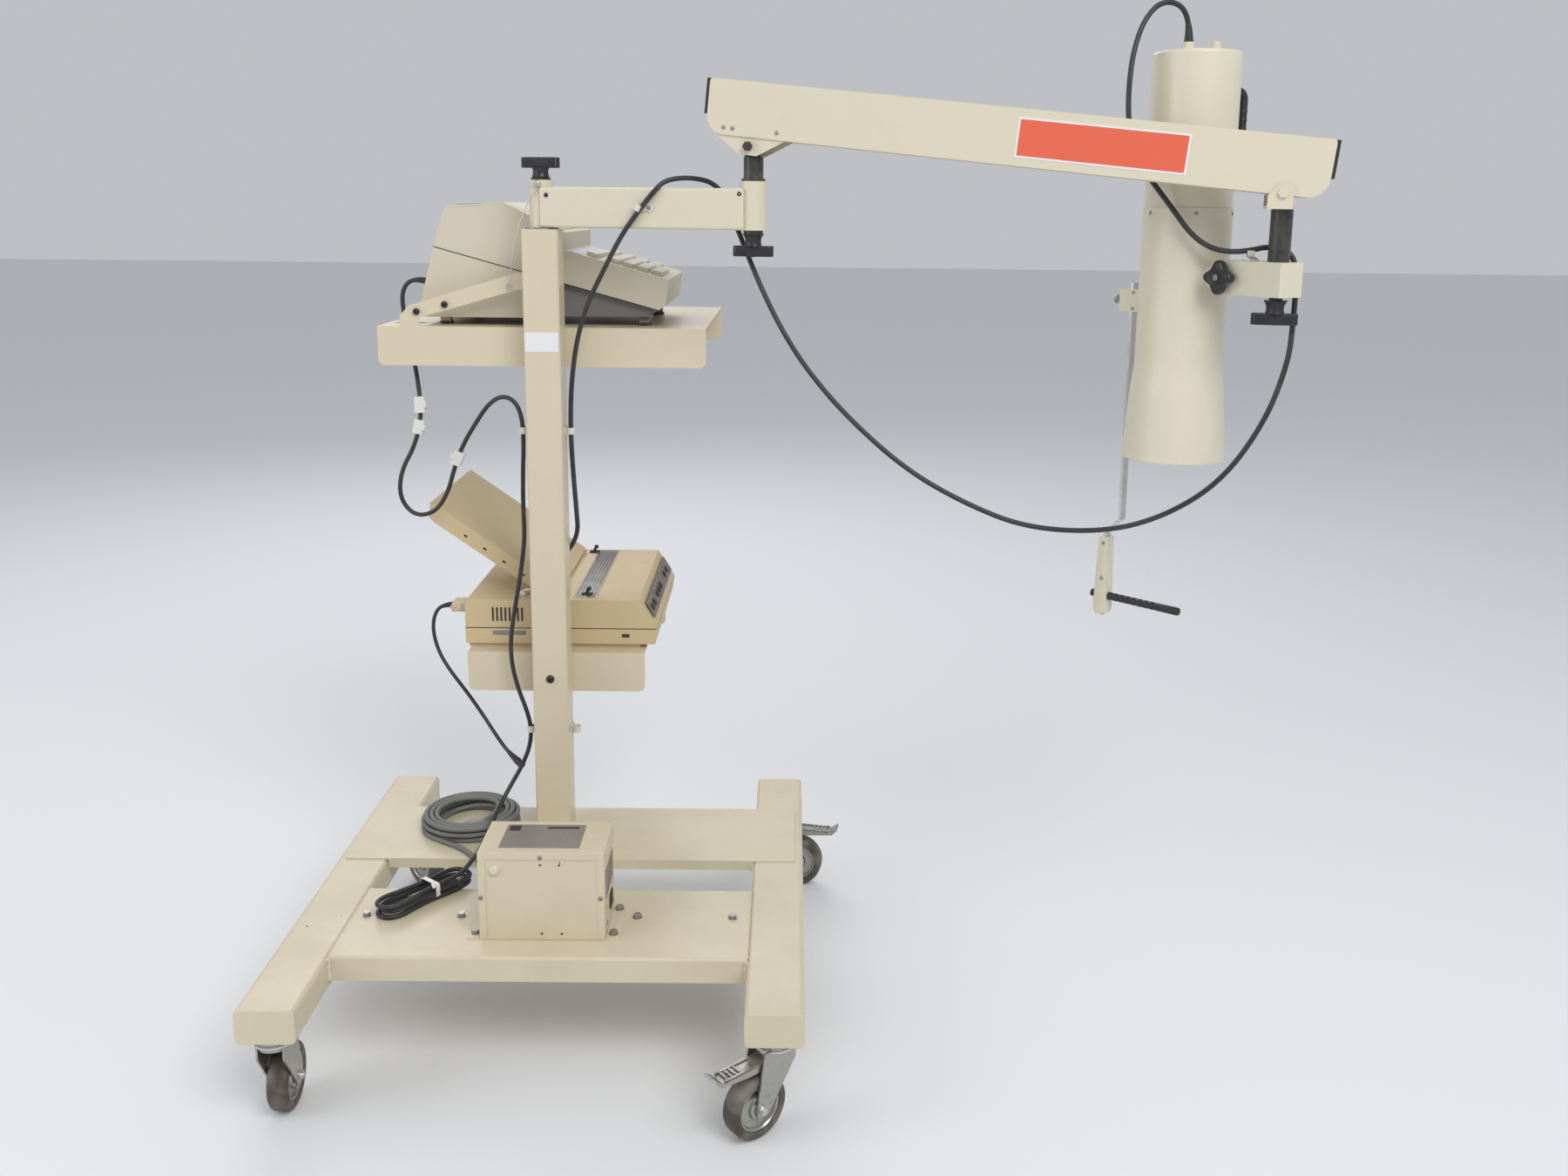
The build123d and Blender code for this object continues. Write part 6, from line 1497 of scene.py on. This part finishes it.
class CART_OT_console(bpy.types.Operator):
    """Keycaps, display bezel, seam, stripe, vents and sockets of the counter's console"""
    bl_idname = "cart.console"
    bl_label = "Console"

    def execute(self, context):
        dish = fittings().keycap_dish
        for number in range(1, 6):
            node = f"key_{number}"
            low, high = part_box(node)
            centre = (low + high) / 2
            top = key_face(centre.x, 0.108)
            place = frame_at(top, FACE_UP, FACE_X)
            bm = bmesh.new()
            self.keycap(bm, place, 0.022, 0.024, 0.008, dish)
            piece(f"keycap_{number}", bm, node, material("keycap"), 40, [node])

        # Fixed rows behind the first and the small round-cornered keys beside the stripe.
        bm = bmesh.new()
        for row, y in enumerate((0.14, 0.172, 0.204, 0.236)):
            for column in range(5):
                x = 0.072 + (0.013 if column else 0) + 0.0255 * column
                self.keycap(bm, frame_at(key_face(x, y), FACE_UP, FACE_X), 0.022, 0.024, 0.0075, dish)
        for y in (0.288, 0.316, 0.344, 0.372):
            for x in (0.082, 0.11, 0.138, 0.166):
                self.keycap(bm, frame_at(key_face(x, y), FACE_UP, FACE_X), 0.02, 0.02, 0.006, dish)
        piece("console_rear_keys", bm, "base", material("keycap"), 40)

        bm = bmesh.new()
        place = frame_at(key_face(0.044, 0.235, 0.0), FACE_UP, FACE_X)
        prism(bm, rounded_outline(0.021, 0.31, 0.002), 0.0007, place, 0.0002, 1)
        piece("console_stripe", bm, "base", material("console stripe"))

        # Display window in the hood's face, in a raised bezel.
        hood = frame_at(((0.027 - 0.044) / 2 - 0.0, 0.235, (1.307 + 1.341) / 2), (0.034, 0, 0.071), (0.071, 0, -0.034))
        bm = bmesh.new()
        outer, inner = rounded_outline(0.058, 0.27, 0.006), rounded_outline(0.046, 0.255, 0.004)
        rings = [[bm.verts.new(hood @ Vector((x, y, z))) for x, y in shape] for shape, z in
                 ((outer, -0.0005), (outer, 0.0016), (inner, 0.0018), (inner, 0.0004))]
        for low_ring, high_ring in zip(rings, rings[1:]):
            for k in range(len(low_ring)):
                bm.faces.new((low_ring[k], low_ring[(k + 1) % len(low_ring)],
                              high_ring[(k + 1) % len(low_ring)], high_ring[k]))
        piece("display_bezel", bm, "base", material("console"), 30)
        bm = bmesh.new()
        prism(bm, inner, 0.0007, hood, 0.0002, 1)
        piece("display_window", bm, "base", material("printer window"))

        # The seam's shadow line, all round, and the vent ribs under the back edge of the hood, dark with painted shade.
        bm = bmesh.new()
        for y in (CONSOLE_NEAR - 0.0002, CONSOLE_FAR + 0.0002):
            ribbon(bm, [Vector((x, y, seam_height(x))) for x in (-0.206, -0.1, 0.0, 0.1, 0.193)], 0.0016, 0.0006,
                   (0, 0, 1))
        ribbon(bm, [Vector((-0.2075, y, seam_height(-0.207))) for y in (0.0705, 0.2, 0.3995)], 0.0016, 0.0006,
               (0, 0, 1))
        piece("console_seam", bm, "base", material("dark parts and painted shade"))

        # The vent ribs take the console's painted shade colour.
        bm = bmesh.new()
        for k in range(16):
            y = 0.11 + 0.0165 * k
            start, end = Vector((-0.171, y, 1.3539)), Vector((-0.131, y, 1.3554))
            swept(bm, [start, (start + end) / 2, end], 0.0017, 8, 0.6)
        piece("console_vent_rib_shade", bm, "base", material("console shade"), crease=60)

        # Raised ridges along the hood's edges on the near and far sides.
        bm = bmesh.new()
        ridge = [Vector(p) for p in ((-0.183, 0.0708, 1.3495), (-0.125, 0.0708, 1.3535), (-0.082, 0.0708, 1.3565),
                                     (-0.047, 0.0708, 1.339), (0.023, 0.0708, 1.3065))]
        swept(bm, ridge, 0.0014, 8)
        swept(bm, [point + Vector((0, 0.3286, 0)) for point in ridge], 0.0014, 8)
        piece("console_edges", bm, "base", material("console"), 60)

        # Sockets on the back: mains inlet and two round connectors.
        back = frame_at((-0.2215, 0.112, 1.2155), (-0.996, 0, 0.26 * 0.3), UP)
        bm = bmesh.new()
        prism(bm, rounded_outline(0.024, 0.03, 0.003), 0.0022, back, 0.0004, 1)
        for y, z in ((0.2, 1.222), (0.25, 1.222), (0.3, 1.222)):
            socket = frame_at((-0.2222, y, z), (-0.96, 0, 0.26), UP)
            turned(bm, ((0.012, 0), (0.012, 0.002), (0.0105, 0.003), (0.0085, 0.003), (0.0085, 0.0005),
                        (0, 0.0005)), socket, 30)
        piece("console_sockets", bm, "base", material("black plastic"))

        bm = bmesh.new()
        for x in (-0.196, 0.165):
            for y in (0.104, 0.366):
                turned(bm, ((0, 0), (0.0115, 0), (0.0122, 0.001), (0.0122, 0.0045), (0.011, 0.005), (0, 0.005)),
                       frame_at((x, y, UPPER_SHELF), UP, (1, 0, 0)), 28)
        piece("console_feet", bm, "base", material("foot"))
        return {"FINISHED"}

    def keycap(self, bm, place, wide, deep, tall, dish):
        """A keycap whose sides draw in to a dished top."""
        rings = []
        for z, shrink, r in ((-0.003, 0, 0.002), (0.0, 0, 0.002), (tall * 0.55, 0.0004, 0.0022),
                             (tall - 0.0009, 0.001, 0.0024), (tall - 0.0002, 0.0016, 0.0024),
                             (tall, 0.0024, 0.0022), (tall - dish * 0.6, 0.0055, 0.0018),
                             (tall - dish, 0.009, 0.001)):
            rings.append([bm.verts.new(place @ Vector((x, y, z))) for x, y in
                          rounded_outline(wide - 2 * shrink, deep - 2 * shrink, r, 4)])
        for low, high in zip(rings, rings[1:]):
            for k in range(len(low)):
                bm.faces.new((low[k], low[(k + 1) % len(low)], high[(k + 1) % len(low)], high[k]))
        bm.faces.new(rings[0][::-1])
        bm.faces.new(rings[-1])


# ---- printer ------------------------------------------------------------------------------------
class CART_OT_printer(bpy.types.Operator):
    """Smoked window, control panel, vents, seam and levers of the printer"""
    bl_idname = "cart.printer"
    bl_label = "Printer"

    def execute(self, context):
        top, near, far = 0.631, 0.06, 0.453
        # Vent slots on the near side: dark plates are painted shade inside the recesses, each with a raised lip.
        bm = bmesh.new()
        lips = bmesh.new()
        for k in range(8):
            x = -0.1199 + 0.00778 * k
            place = frame_at((x, near + 0.0004, 0.6025), (0, -1, 0), (1, 0, 0))
            prism(bm, rounded_outline(0.0034, 0.027, 0.0016), 0.0006, place)
            swept(lips, [place @ Vector((a * 0.0021, b * 0.0138, 0.0005)) for a, b in (
                (-1, -0.9), (-1, 0.9), (-0.4, 1), (0.4, 1), (1, 0.9), (1, -0.9))], 0.0004, 6)
        piece("printer_vent_shade", bm, "base", material("dark parts and painted shade"))
        piece("printer_vent_lips", lips, "base", material("printer"), 60)

        # Seam, side groove and shadow under the case.
        bm = bmesh.new()
        for y in (near - 0.0002, far + 0.0002):
            ribbon(bm, [Vector((x, y, 0.576)) for x in (-0.1715, 0, 0.1855)], 0.0014, 0.0006, (0, 0, 1))
        ribbon(bm, [Vector((-0.1722, y, 0.576)) for y in (near, 0.25, far)], 0.0014, 0.0006, (0, 0, 1))
        ribbon(bm, [Vector((0.1866, y, 0.576)) for y in (near, 0.25, far)], 0.0014, 0.0006, (0, 0, 1))
        piece("printer_seam", bm, "base", material("dark parts and painted shade"))

        # Control panel on the sloping front: plate, rocker buttons and lamps.
        slope = Vector((0.055, 0, 0.034)).normalized()
        down = Vector((0.034, 0, -0.055)).normalized()
        panel = frame_at(Vector((0.1705, 0.2645, 0.6045)) + slope * 0.0016, slope, down)
        bm = bmesh.new()
        prism(bm, rounded_outline(0.034, 0.358, 0.003), 0.001, panel, 0.0003, 1)
        piece("printer_panel", bm, "base", material("printer panel"))
        bm = bmesh.new()
        for y in (-0.15, -0.118, -0.06, -0.028, 0.004, 0.09, 0.13):
            block(bm, (0.011, 0.018, 0.003), panel @ Matrix.Translation((0.002, y, 0.0018)), 0.0009)
        piece("printer_buttons", bm, "base", material("dark parts and painted shade"))
        bm = bmesh.new()
        for y in (-0.15, -0.118, -0.06, -0.028, 0.004):
            turned(bm, ((0, 0.0008), (0.0016, 0.0008), (0.0014, 0.0018), (0, 0.0022)),
                   panel @ Matrix.Translation((-0.0105, y, 0)), 16)
        piece("printer_lamps", bm, "base", material("lens"))

        # Recessed deck strip with its smoked window over the print head.
        bm = bmesh.new()
        window = frame_at((0.0497, 0.2585, top - 0.001), UP, (1, 0, 0))
        prism(bm, rounded_outline(0.0405, 0.366, 0.003), 0.0022, window, 0.0007, 2)
        piece("printer_window", bm, "base", material("printer window"))
        bm = bmesh.new()
        for k in range(6):
            swept(bm, [Vector((0.034 + 0.0062 * k, y, top + 0.0013)) for y in (0.085, 0.2, 0.43)], 0.0007, 6)
        piece("window_ribs", bm, "base", material("printer panel"), crease=60)
        bm = bmesh.new()
        outline = rounded_outline(0.044, 0.37, 0.004)
        inner = rounded_outline(0.0405, 0.366, 0.003)
        rings = [[bm.verts.new(window @ Vector((x, y, z))) for x, y in shape] for shape, z in
                 ((outline, 0.0008), (outline, 0.0019), (inner, 0.0021), (inner, 0.0008))]
        for low, high in zip(rings, rings[1:]):
            for k in range(len(low)):
                bm.faces.new((low[k], low[(k + 1) % len(low)], high[(k + 1) % len(low)], high[k]))
        piece("window_frame", bm, "base", material("printer"), 30)

        # Levers, the paper knob and the tray's catch.
        bm = bmesh.new()
        for x, y in ((0.052, 0.096), (0.0205, 0.427)):
            lever = frame_at((x, y, top - 0.001), UP, (1, 0, 0))
            block(bm, (0.02, 0.012, 0.005), lever @ Matrix.Translation((0, 0, 0.0025)), 0.0012)
            swept(bm, [lever @ Vector((-0.002, 0, 0.002)), lever @ Vector((0.0, 0, 0.008)),
                       lever @ Vector((0.003, 0, 0.0135))], 0.0028, 12)
            turned(bm, ((0, -0.0045), (0.0034, -0.0032), (0.0046, 0), (0.0034, 0.0032), (0, 0.0045)),
                   lever @ Matrix.Translation((0.0035, 0, 0.0135)), 18)
        knob = frame_at((-0.012, far, 0.606), (0, 1, 0), UP)
        turned(bm, ((0, 0), (0.006, 0), (0.006, 0.003), (0.0125, 0.0035), (0.0132, 0.005), (0.0132, 0.0125),
                    (0.012, 0.0138), (0, 0.0138)), knob, 36)
        piece("printer_levers", bm, "base", material("dark parts and painted shade"), crease=40)
        bm = bmesh.new()
        block(bm, (0.016, 0.012, 0.007), frame_at((-0.071, 0.092, top + 0.0035), UP, (1, 0, 0)), 0.0015)
        ribbon(bm, [Vector(p) for p in ((-0.071, 0.092, top + 0.006), (-0.064, 0.092, top + 0.0105),
                                        (-0.055, 0.092, top + 0.0115))], 0.009, 0.0022, (0, 1, 0))
        piece("tray_catch", bm, "base", material("white tie"), crease=40)

        # Data plug: metal shell, moulded grip and thumbscrews.
        plug = frame_at((-0.172, 0.12, 0.603), (-1, 0, 0), (0, 1, 0))
        bm = bmesh.new()
        for side in (-1, 1):
            turned(bm, ((0.002, 0.001), (0.002, 0.022), (0.0034, 0.023), (0.0036, 0.025), (0.0036, 0.036),
                        (0.0028, 0.0375), (0, 0.0375)), plug @ Matrix.Translation((side * 0.0185, 0, 0)), 18)
        prism(bm, rounded_outline(0.043, 0.0125, 0.003), 0.0025, plug, 0.0003, 1)
        for z in (0.0095, 0.0125, 0.0155):
            prism(bm, rounded_outline(0.0445, 0.0176, 0.004), 0.0012, plug @ Matrix.Translation((0, 0, z)), 0.0002, 1)
        piece("data_plug_shell", bm, "base", material("zinc"), 40)

        # Blank plate in the moulded side recess, and a small dark catch low at the front.
        bm = bmesh.new()
        place = frame_at((-0.09, near - 0.0001, 0.5665), (0, -1, 0), (1, 0, 0))
        prism(bm, rounded_outline(0.062, 0.008, 0.001), 0.0004, place)
        piece("printer_blank_plate", bm, "base", material("name plate"))
        bm = bmesh.new()
        place = frame_at((0.128, near - 0.0001, 0.5625), (0, -1, 0), (1, 0, 0))
        prism(bm, rounded_outline(0.014, 0.0065, 0.001), 0.0006, place)
        piece("printer_side_latch", bm, "base", material("dark parts and painted shade"))
        return {"FINISHED"}


class CART_OT_paper_tray(bpy.types.Operator):
    """Rolled edges, stiffening ribs, paper guides and small windows of the tray"""
    bl_idname = "cart.paper_tray"
    bl_label = "Paper tray"

    def execute(self, context):
        lean = radians(145)
        out = Vector((cos(lean), 0, sin(lean)))
        face = Vector((-sin(lean), 0, cos(lean)))
        if face.z < 0:
            face = -face
        hinge = Vector((0, 0.1, 0.637))

        def on_tray(s, y, rise=0.0):
            return hinge + out * s + Vector((0, y, 0)) + face * rise

        flange_up = self.flange_side(face)
        bm = bmesh.new()
        swept(bm, [on_tray(0.291, y) for y in (0.001, 0.1, 0.2, 0.329)], 0.0026, 10)
        for s in (0.07, 0.15, 0.23):
            swept(bm, [on_tray(s, y, 0.0012 * flange_up) for y in (0.03, 0.16, 0.3)], 0.0016, 8)
        for y in (0.0012, 0.3288):
            swept(bm, [on_tray(s, y, flange_up * rise) for s, rise in ((0.052, 0.0245), (0.15, 0.0248), (0.266, 0.0248),
                                                              (0.279, 0.0222))], 0.0019, 8)
        piece("tray_edges", bm, "tray", material("printer"), 60)
        bm = bmesh.new()
        for y in (0.07, 0.26):
            guide = frame_at(on_tray(0.11, y, 0.004 * flange_up), face * flange_up, out)
            prism(bm, rounded_outline(0.09, 0.006, 0.002), 0.012, guide @ Matrix.Translation((0, 0, -0.004)), 0.001)
        piece("tray_guides", bm, "tray", material("printer"))
        # Small dark marks are painted shade seen through the tray's slots.
        bm = bmesh.new()
        for s, rise in ((0.075, 0.014), (0.118, 0.014), (0.161, 0.014), (0.204, 0.014)):
            mark = frame_at(on_tray(s, -0.0001, rise * flange_up), (0, -1, 0), out)
            prism(bm, rounded_outline(0.007, 0.0035, 0.001), 0.0004, mark)
        piece("tray_slot_shade", bm, "tray", material("dark parts and painted shade"))
        return {"FINISHED"}

    def flange_side(self, face):
        """+1 where the flanges stand on the face's upper side, from the tray's own corners."""
        low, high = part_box("paper_tray")
        top_corner = Vector((0, 0, 0.637)) + Vector((cos(radians(145)), 0, sin(radians(145)))) * 0.2
        over = (Vector((high.x, 0, high.z)) - top_corner).dot(face)
        return 1 if high.z > 0.637 + 0.292 * sin(radians(145)) + 0.004 or over > 0.2 else -1


# ---- transformer box ----------------------------------------------------------------------------
class CART_OT_transformer(bpy.types.Operator):
    """Folded lips, screws, vent holes, pilot lens, sockets and the blank name plate of the box"""
    bl_idname = "cart.transformer"
    bl_label = "Transformer box"

    def execute(self, context):
        front, rear, left, right, top = -0.411, -0.297, -0.054, 0.146, 0.354
        bm = bmesh.new()
        face = frame_at((0.046, front, 0.279), (0, -1, 0), (1, 0, 0))
        for x in (left + 0.006, right - 0.006):
            prism(bm, rounded_outline(0.0115, 0.146, 0.0008, 2), 0.0012,
                  face @ Matrix.Translation((x - 0.046, 0, 0)), 0.0003, 1)
        prism(bm, rounded_outline(0.2, 0.0115, 0.0008, 2), 0.0014,
              face @ Matrix.Translation((0, top - 0.0062 - 0.279, 0)), 0.0003, 1)
        prism(bm, rounded_outline(0.1765, 0.006, 0.0008, 2), 0.0009,
              face @ Matrix.Translation((0, 0.2085 - 0.279, 0)), 0.0003, 1)
        piece("box_lips", bm, "base", material("cart enamel"), 30)

        bm = bmesh.new()
        for x, z in ((0.045, 0.3457), (-0.05, 0.277), (0.1395, 0.277)):
            button_screw(bm, (x, front - 0.0013, z), (0, -1, 0), 0.0036)
        for y in (front + 0.02, rear - 0.02):
            for x, way in ((left, -1), (right, 1)):
                button_screw(bm, (x, y, 0.225), (way, 0, 0), 0.0034)
        piece("box_screws", bm, "base", material("screw"))

        # Dark discs and slots are painted shade in the screw holes and vent slots; the outlet's face is dark plastic.
        bm = bmesh.new()
        for x, z in ((0.045, 0.333), (0.075, 0.333), (0.045, 0.2155), (0.077, 0.2155)):
            turned(bm, ((0, 0.0012), (0.0017, 0.0012), (0.0017, 0.0015), (0, 0.0015)),
                   face @ Matrix.Translation((x - 0.046, z - 0.279, -0.0008)), 16)
        for k in range(7):
            slot = frame_at((right, -0.392 + 0.0128 * k, 0.292), (1, 0, 0), (0, 1, 0))
            prism(bm, rounded_outline(0.0042, 0.05, 0.002), 0.0004, slot)
        outlet = frame_at((right, -0.34, 0.24), (1, 0, 0), (0, 1, 0))
        prism(bm, rounded_outline(0.03, 0.026, 0.004), 0.002, outlet, 0.0005, 1)
        piece("box_hole_shade_and_outlet", bm, "base", material("dark parts and painted shade"))

        bm = bmesh.new()
        turned(bm, ((0.0098, 0.0), (0.0098, 0.0012), (0.0088, 0.0022), (0.0078, 0.0022)),
               face @ Matrix.Translation((-0.028 - 0.046, 0.3225 - 0.279, 0)), 36)
        piece("lens_bezel", bm, "base", material("cart enamel"))
        bm = bmesh.new()
        turned(bm, ((0.0079, 0.0004), (0.0079, 0.0018), (0.0068, 0.0032), (0.0045, 0.0042), (0, 0.0046)),
               face @ Matrix.Translation((-0.028 - 0.046, 0.3225 - 0.279, 0)), 36)
        piece("pilot_lens", bm, "base", material("lens"))

        bm = bmesh.new()
        plate = frame_at((0.0405, -0.353, top), UP, (1, 0, 0))
        prism(bm, rounded_outline(0.128, 0.084, 0.0015), 0.0006, plate, 0.0002, 1)
        piece("blank_name_plate", bm, "base", material("name plate"))
        bm = bmesh.new()
        prism(bm, rounded_outline(0.018, 0.018, 0.001), 0.0003, plate @ Matrix.Translation((-0.05, 0.028, 0.0006)))
        prism(bm, rounded_outline(0.052, 0.006, 0.001), 0.0003, plate @ Matrix.Translation((0.028, 0.03, 0.0006)))
        piece("name_plate_panels", bm, "base", material("dark parts and painted shade"))

        # Grommets where cords pass in at the back.
        bm = bmesh.new()
        turned(bm, ((0.0052, -0.0002), (0.0098, -0.0002), (0.0104, 0.001), (0.0098, 0.0028), (0.0062, 0.0034),
                    (0.0052, 0.0026)), frame_at((-0.022, rear, 0.238), (0, 1, 0), UP), 30)
        piece("box_grommet", bm, "base", material("relief"))

        # Foot flanges turned out from the chassis.
        bm = bmesh.new()
        for x0, x1 in ((left - 0.0215, left - 0.0005), (right + 0.0005, right + 0.0215)):
            block(bm, (x1 - x0, 0.112, 0.0008),
                  frame_at(((x0 + x1) / 2, (front + rear) / 2, DECK_TOP + 0.0019), UP, (1, 0, 0)), 0.0003)
        piece("box_flange_edges", bm, "base", material("cart enamel"))
        return {"FINISHED"}


OPERATORS = (
    CART_OT_stage,
    CART_OT_probe_lead,
    CART_OT_mains_cord,
    CART_OT_data_cord,
    CART_OT_extension_coil,
    CART_OT_finishes,
    CART_OT_welds,
    CART_OT_column_fittings,
    CART_OT_casters,
    CART_OT_arm_fittings,
    CART_OT_probe_fittings,
    CART_OT_distance_gauge,
    CART_OT_console,
    CART_OT_printer,
    CART_OT_paper_tray,
    CART_OT_transformer,
)
SETTINGS = (
    ("cart_finishes", CartFinishes, "Colours and wear"),
    ("cart_cords", CordSizes, "Cord sizes"),
    ("cart_fittings", FittingSizes, "Fitting sizes"),
    ("cart_stage", StageSettings, "Stage"),
)


class CART_PT_panel(bpy.types.Panel):
    """Lists the cart's pieces and the sizes and colours that they use"""
    bl_idname = "CART_PT_panel"
    bl_label = "Uptake Cart"
    bl_space_type = "VIEW_3D"
    bl_region_type = "UI"
    bl_category = "Uptake Cart"

    def draw(self, context):
        layout = self.layout
        column = layout.column(align=True)
        for operator in OPERATORS:
            column.operator(operator.bl_idname)
        for attribute, group, title in SETTINGS:
            box = layout.box()
            box.label(text=title)
            for name in group.__annotations__:
                box.prop(getattr(context.scene, attribute), name)


def register():
    for attribute, group, title in SETTINGS:
        bpy.utils.register_class(group)
        setattr(bpy.types.Scene, attribute, PointerProperty(type=group, name=title))
    for cls in (*OPERATORS, CART_PT_panel):
        bpy.utils.register_class(cls)


def unregister():
    for cls in (CART_PT_panel, *reversed(OPERATORS)):
        bpy.utils.unregister_class(cls)
    for attribute, group, title in reversed(SETTINGS):
        delattr(bpy.types.Scene, attribute)
        bpy.utils.unregister_class(group)


def main():
    register()
    for operator in OPERATORS:
        area, name = operator.bl_idname.split(".")
        getattr(getattr(bpy.ops, area), name)()
    bpy.context.view_layer.update()


if __name__ == "__main__":
    main()
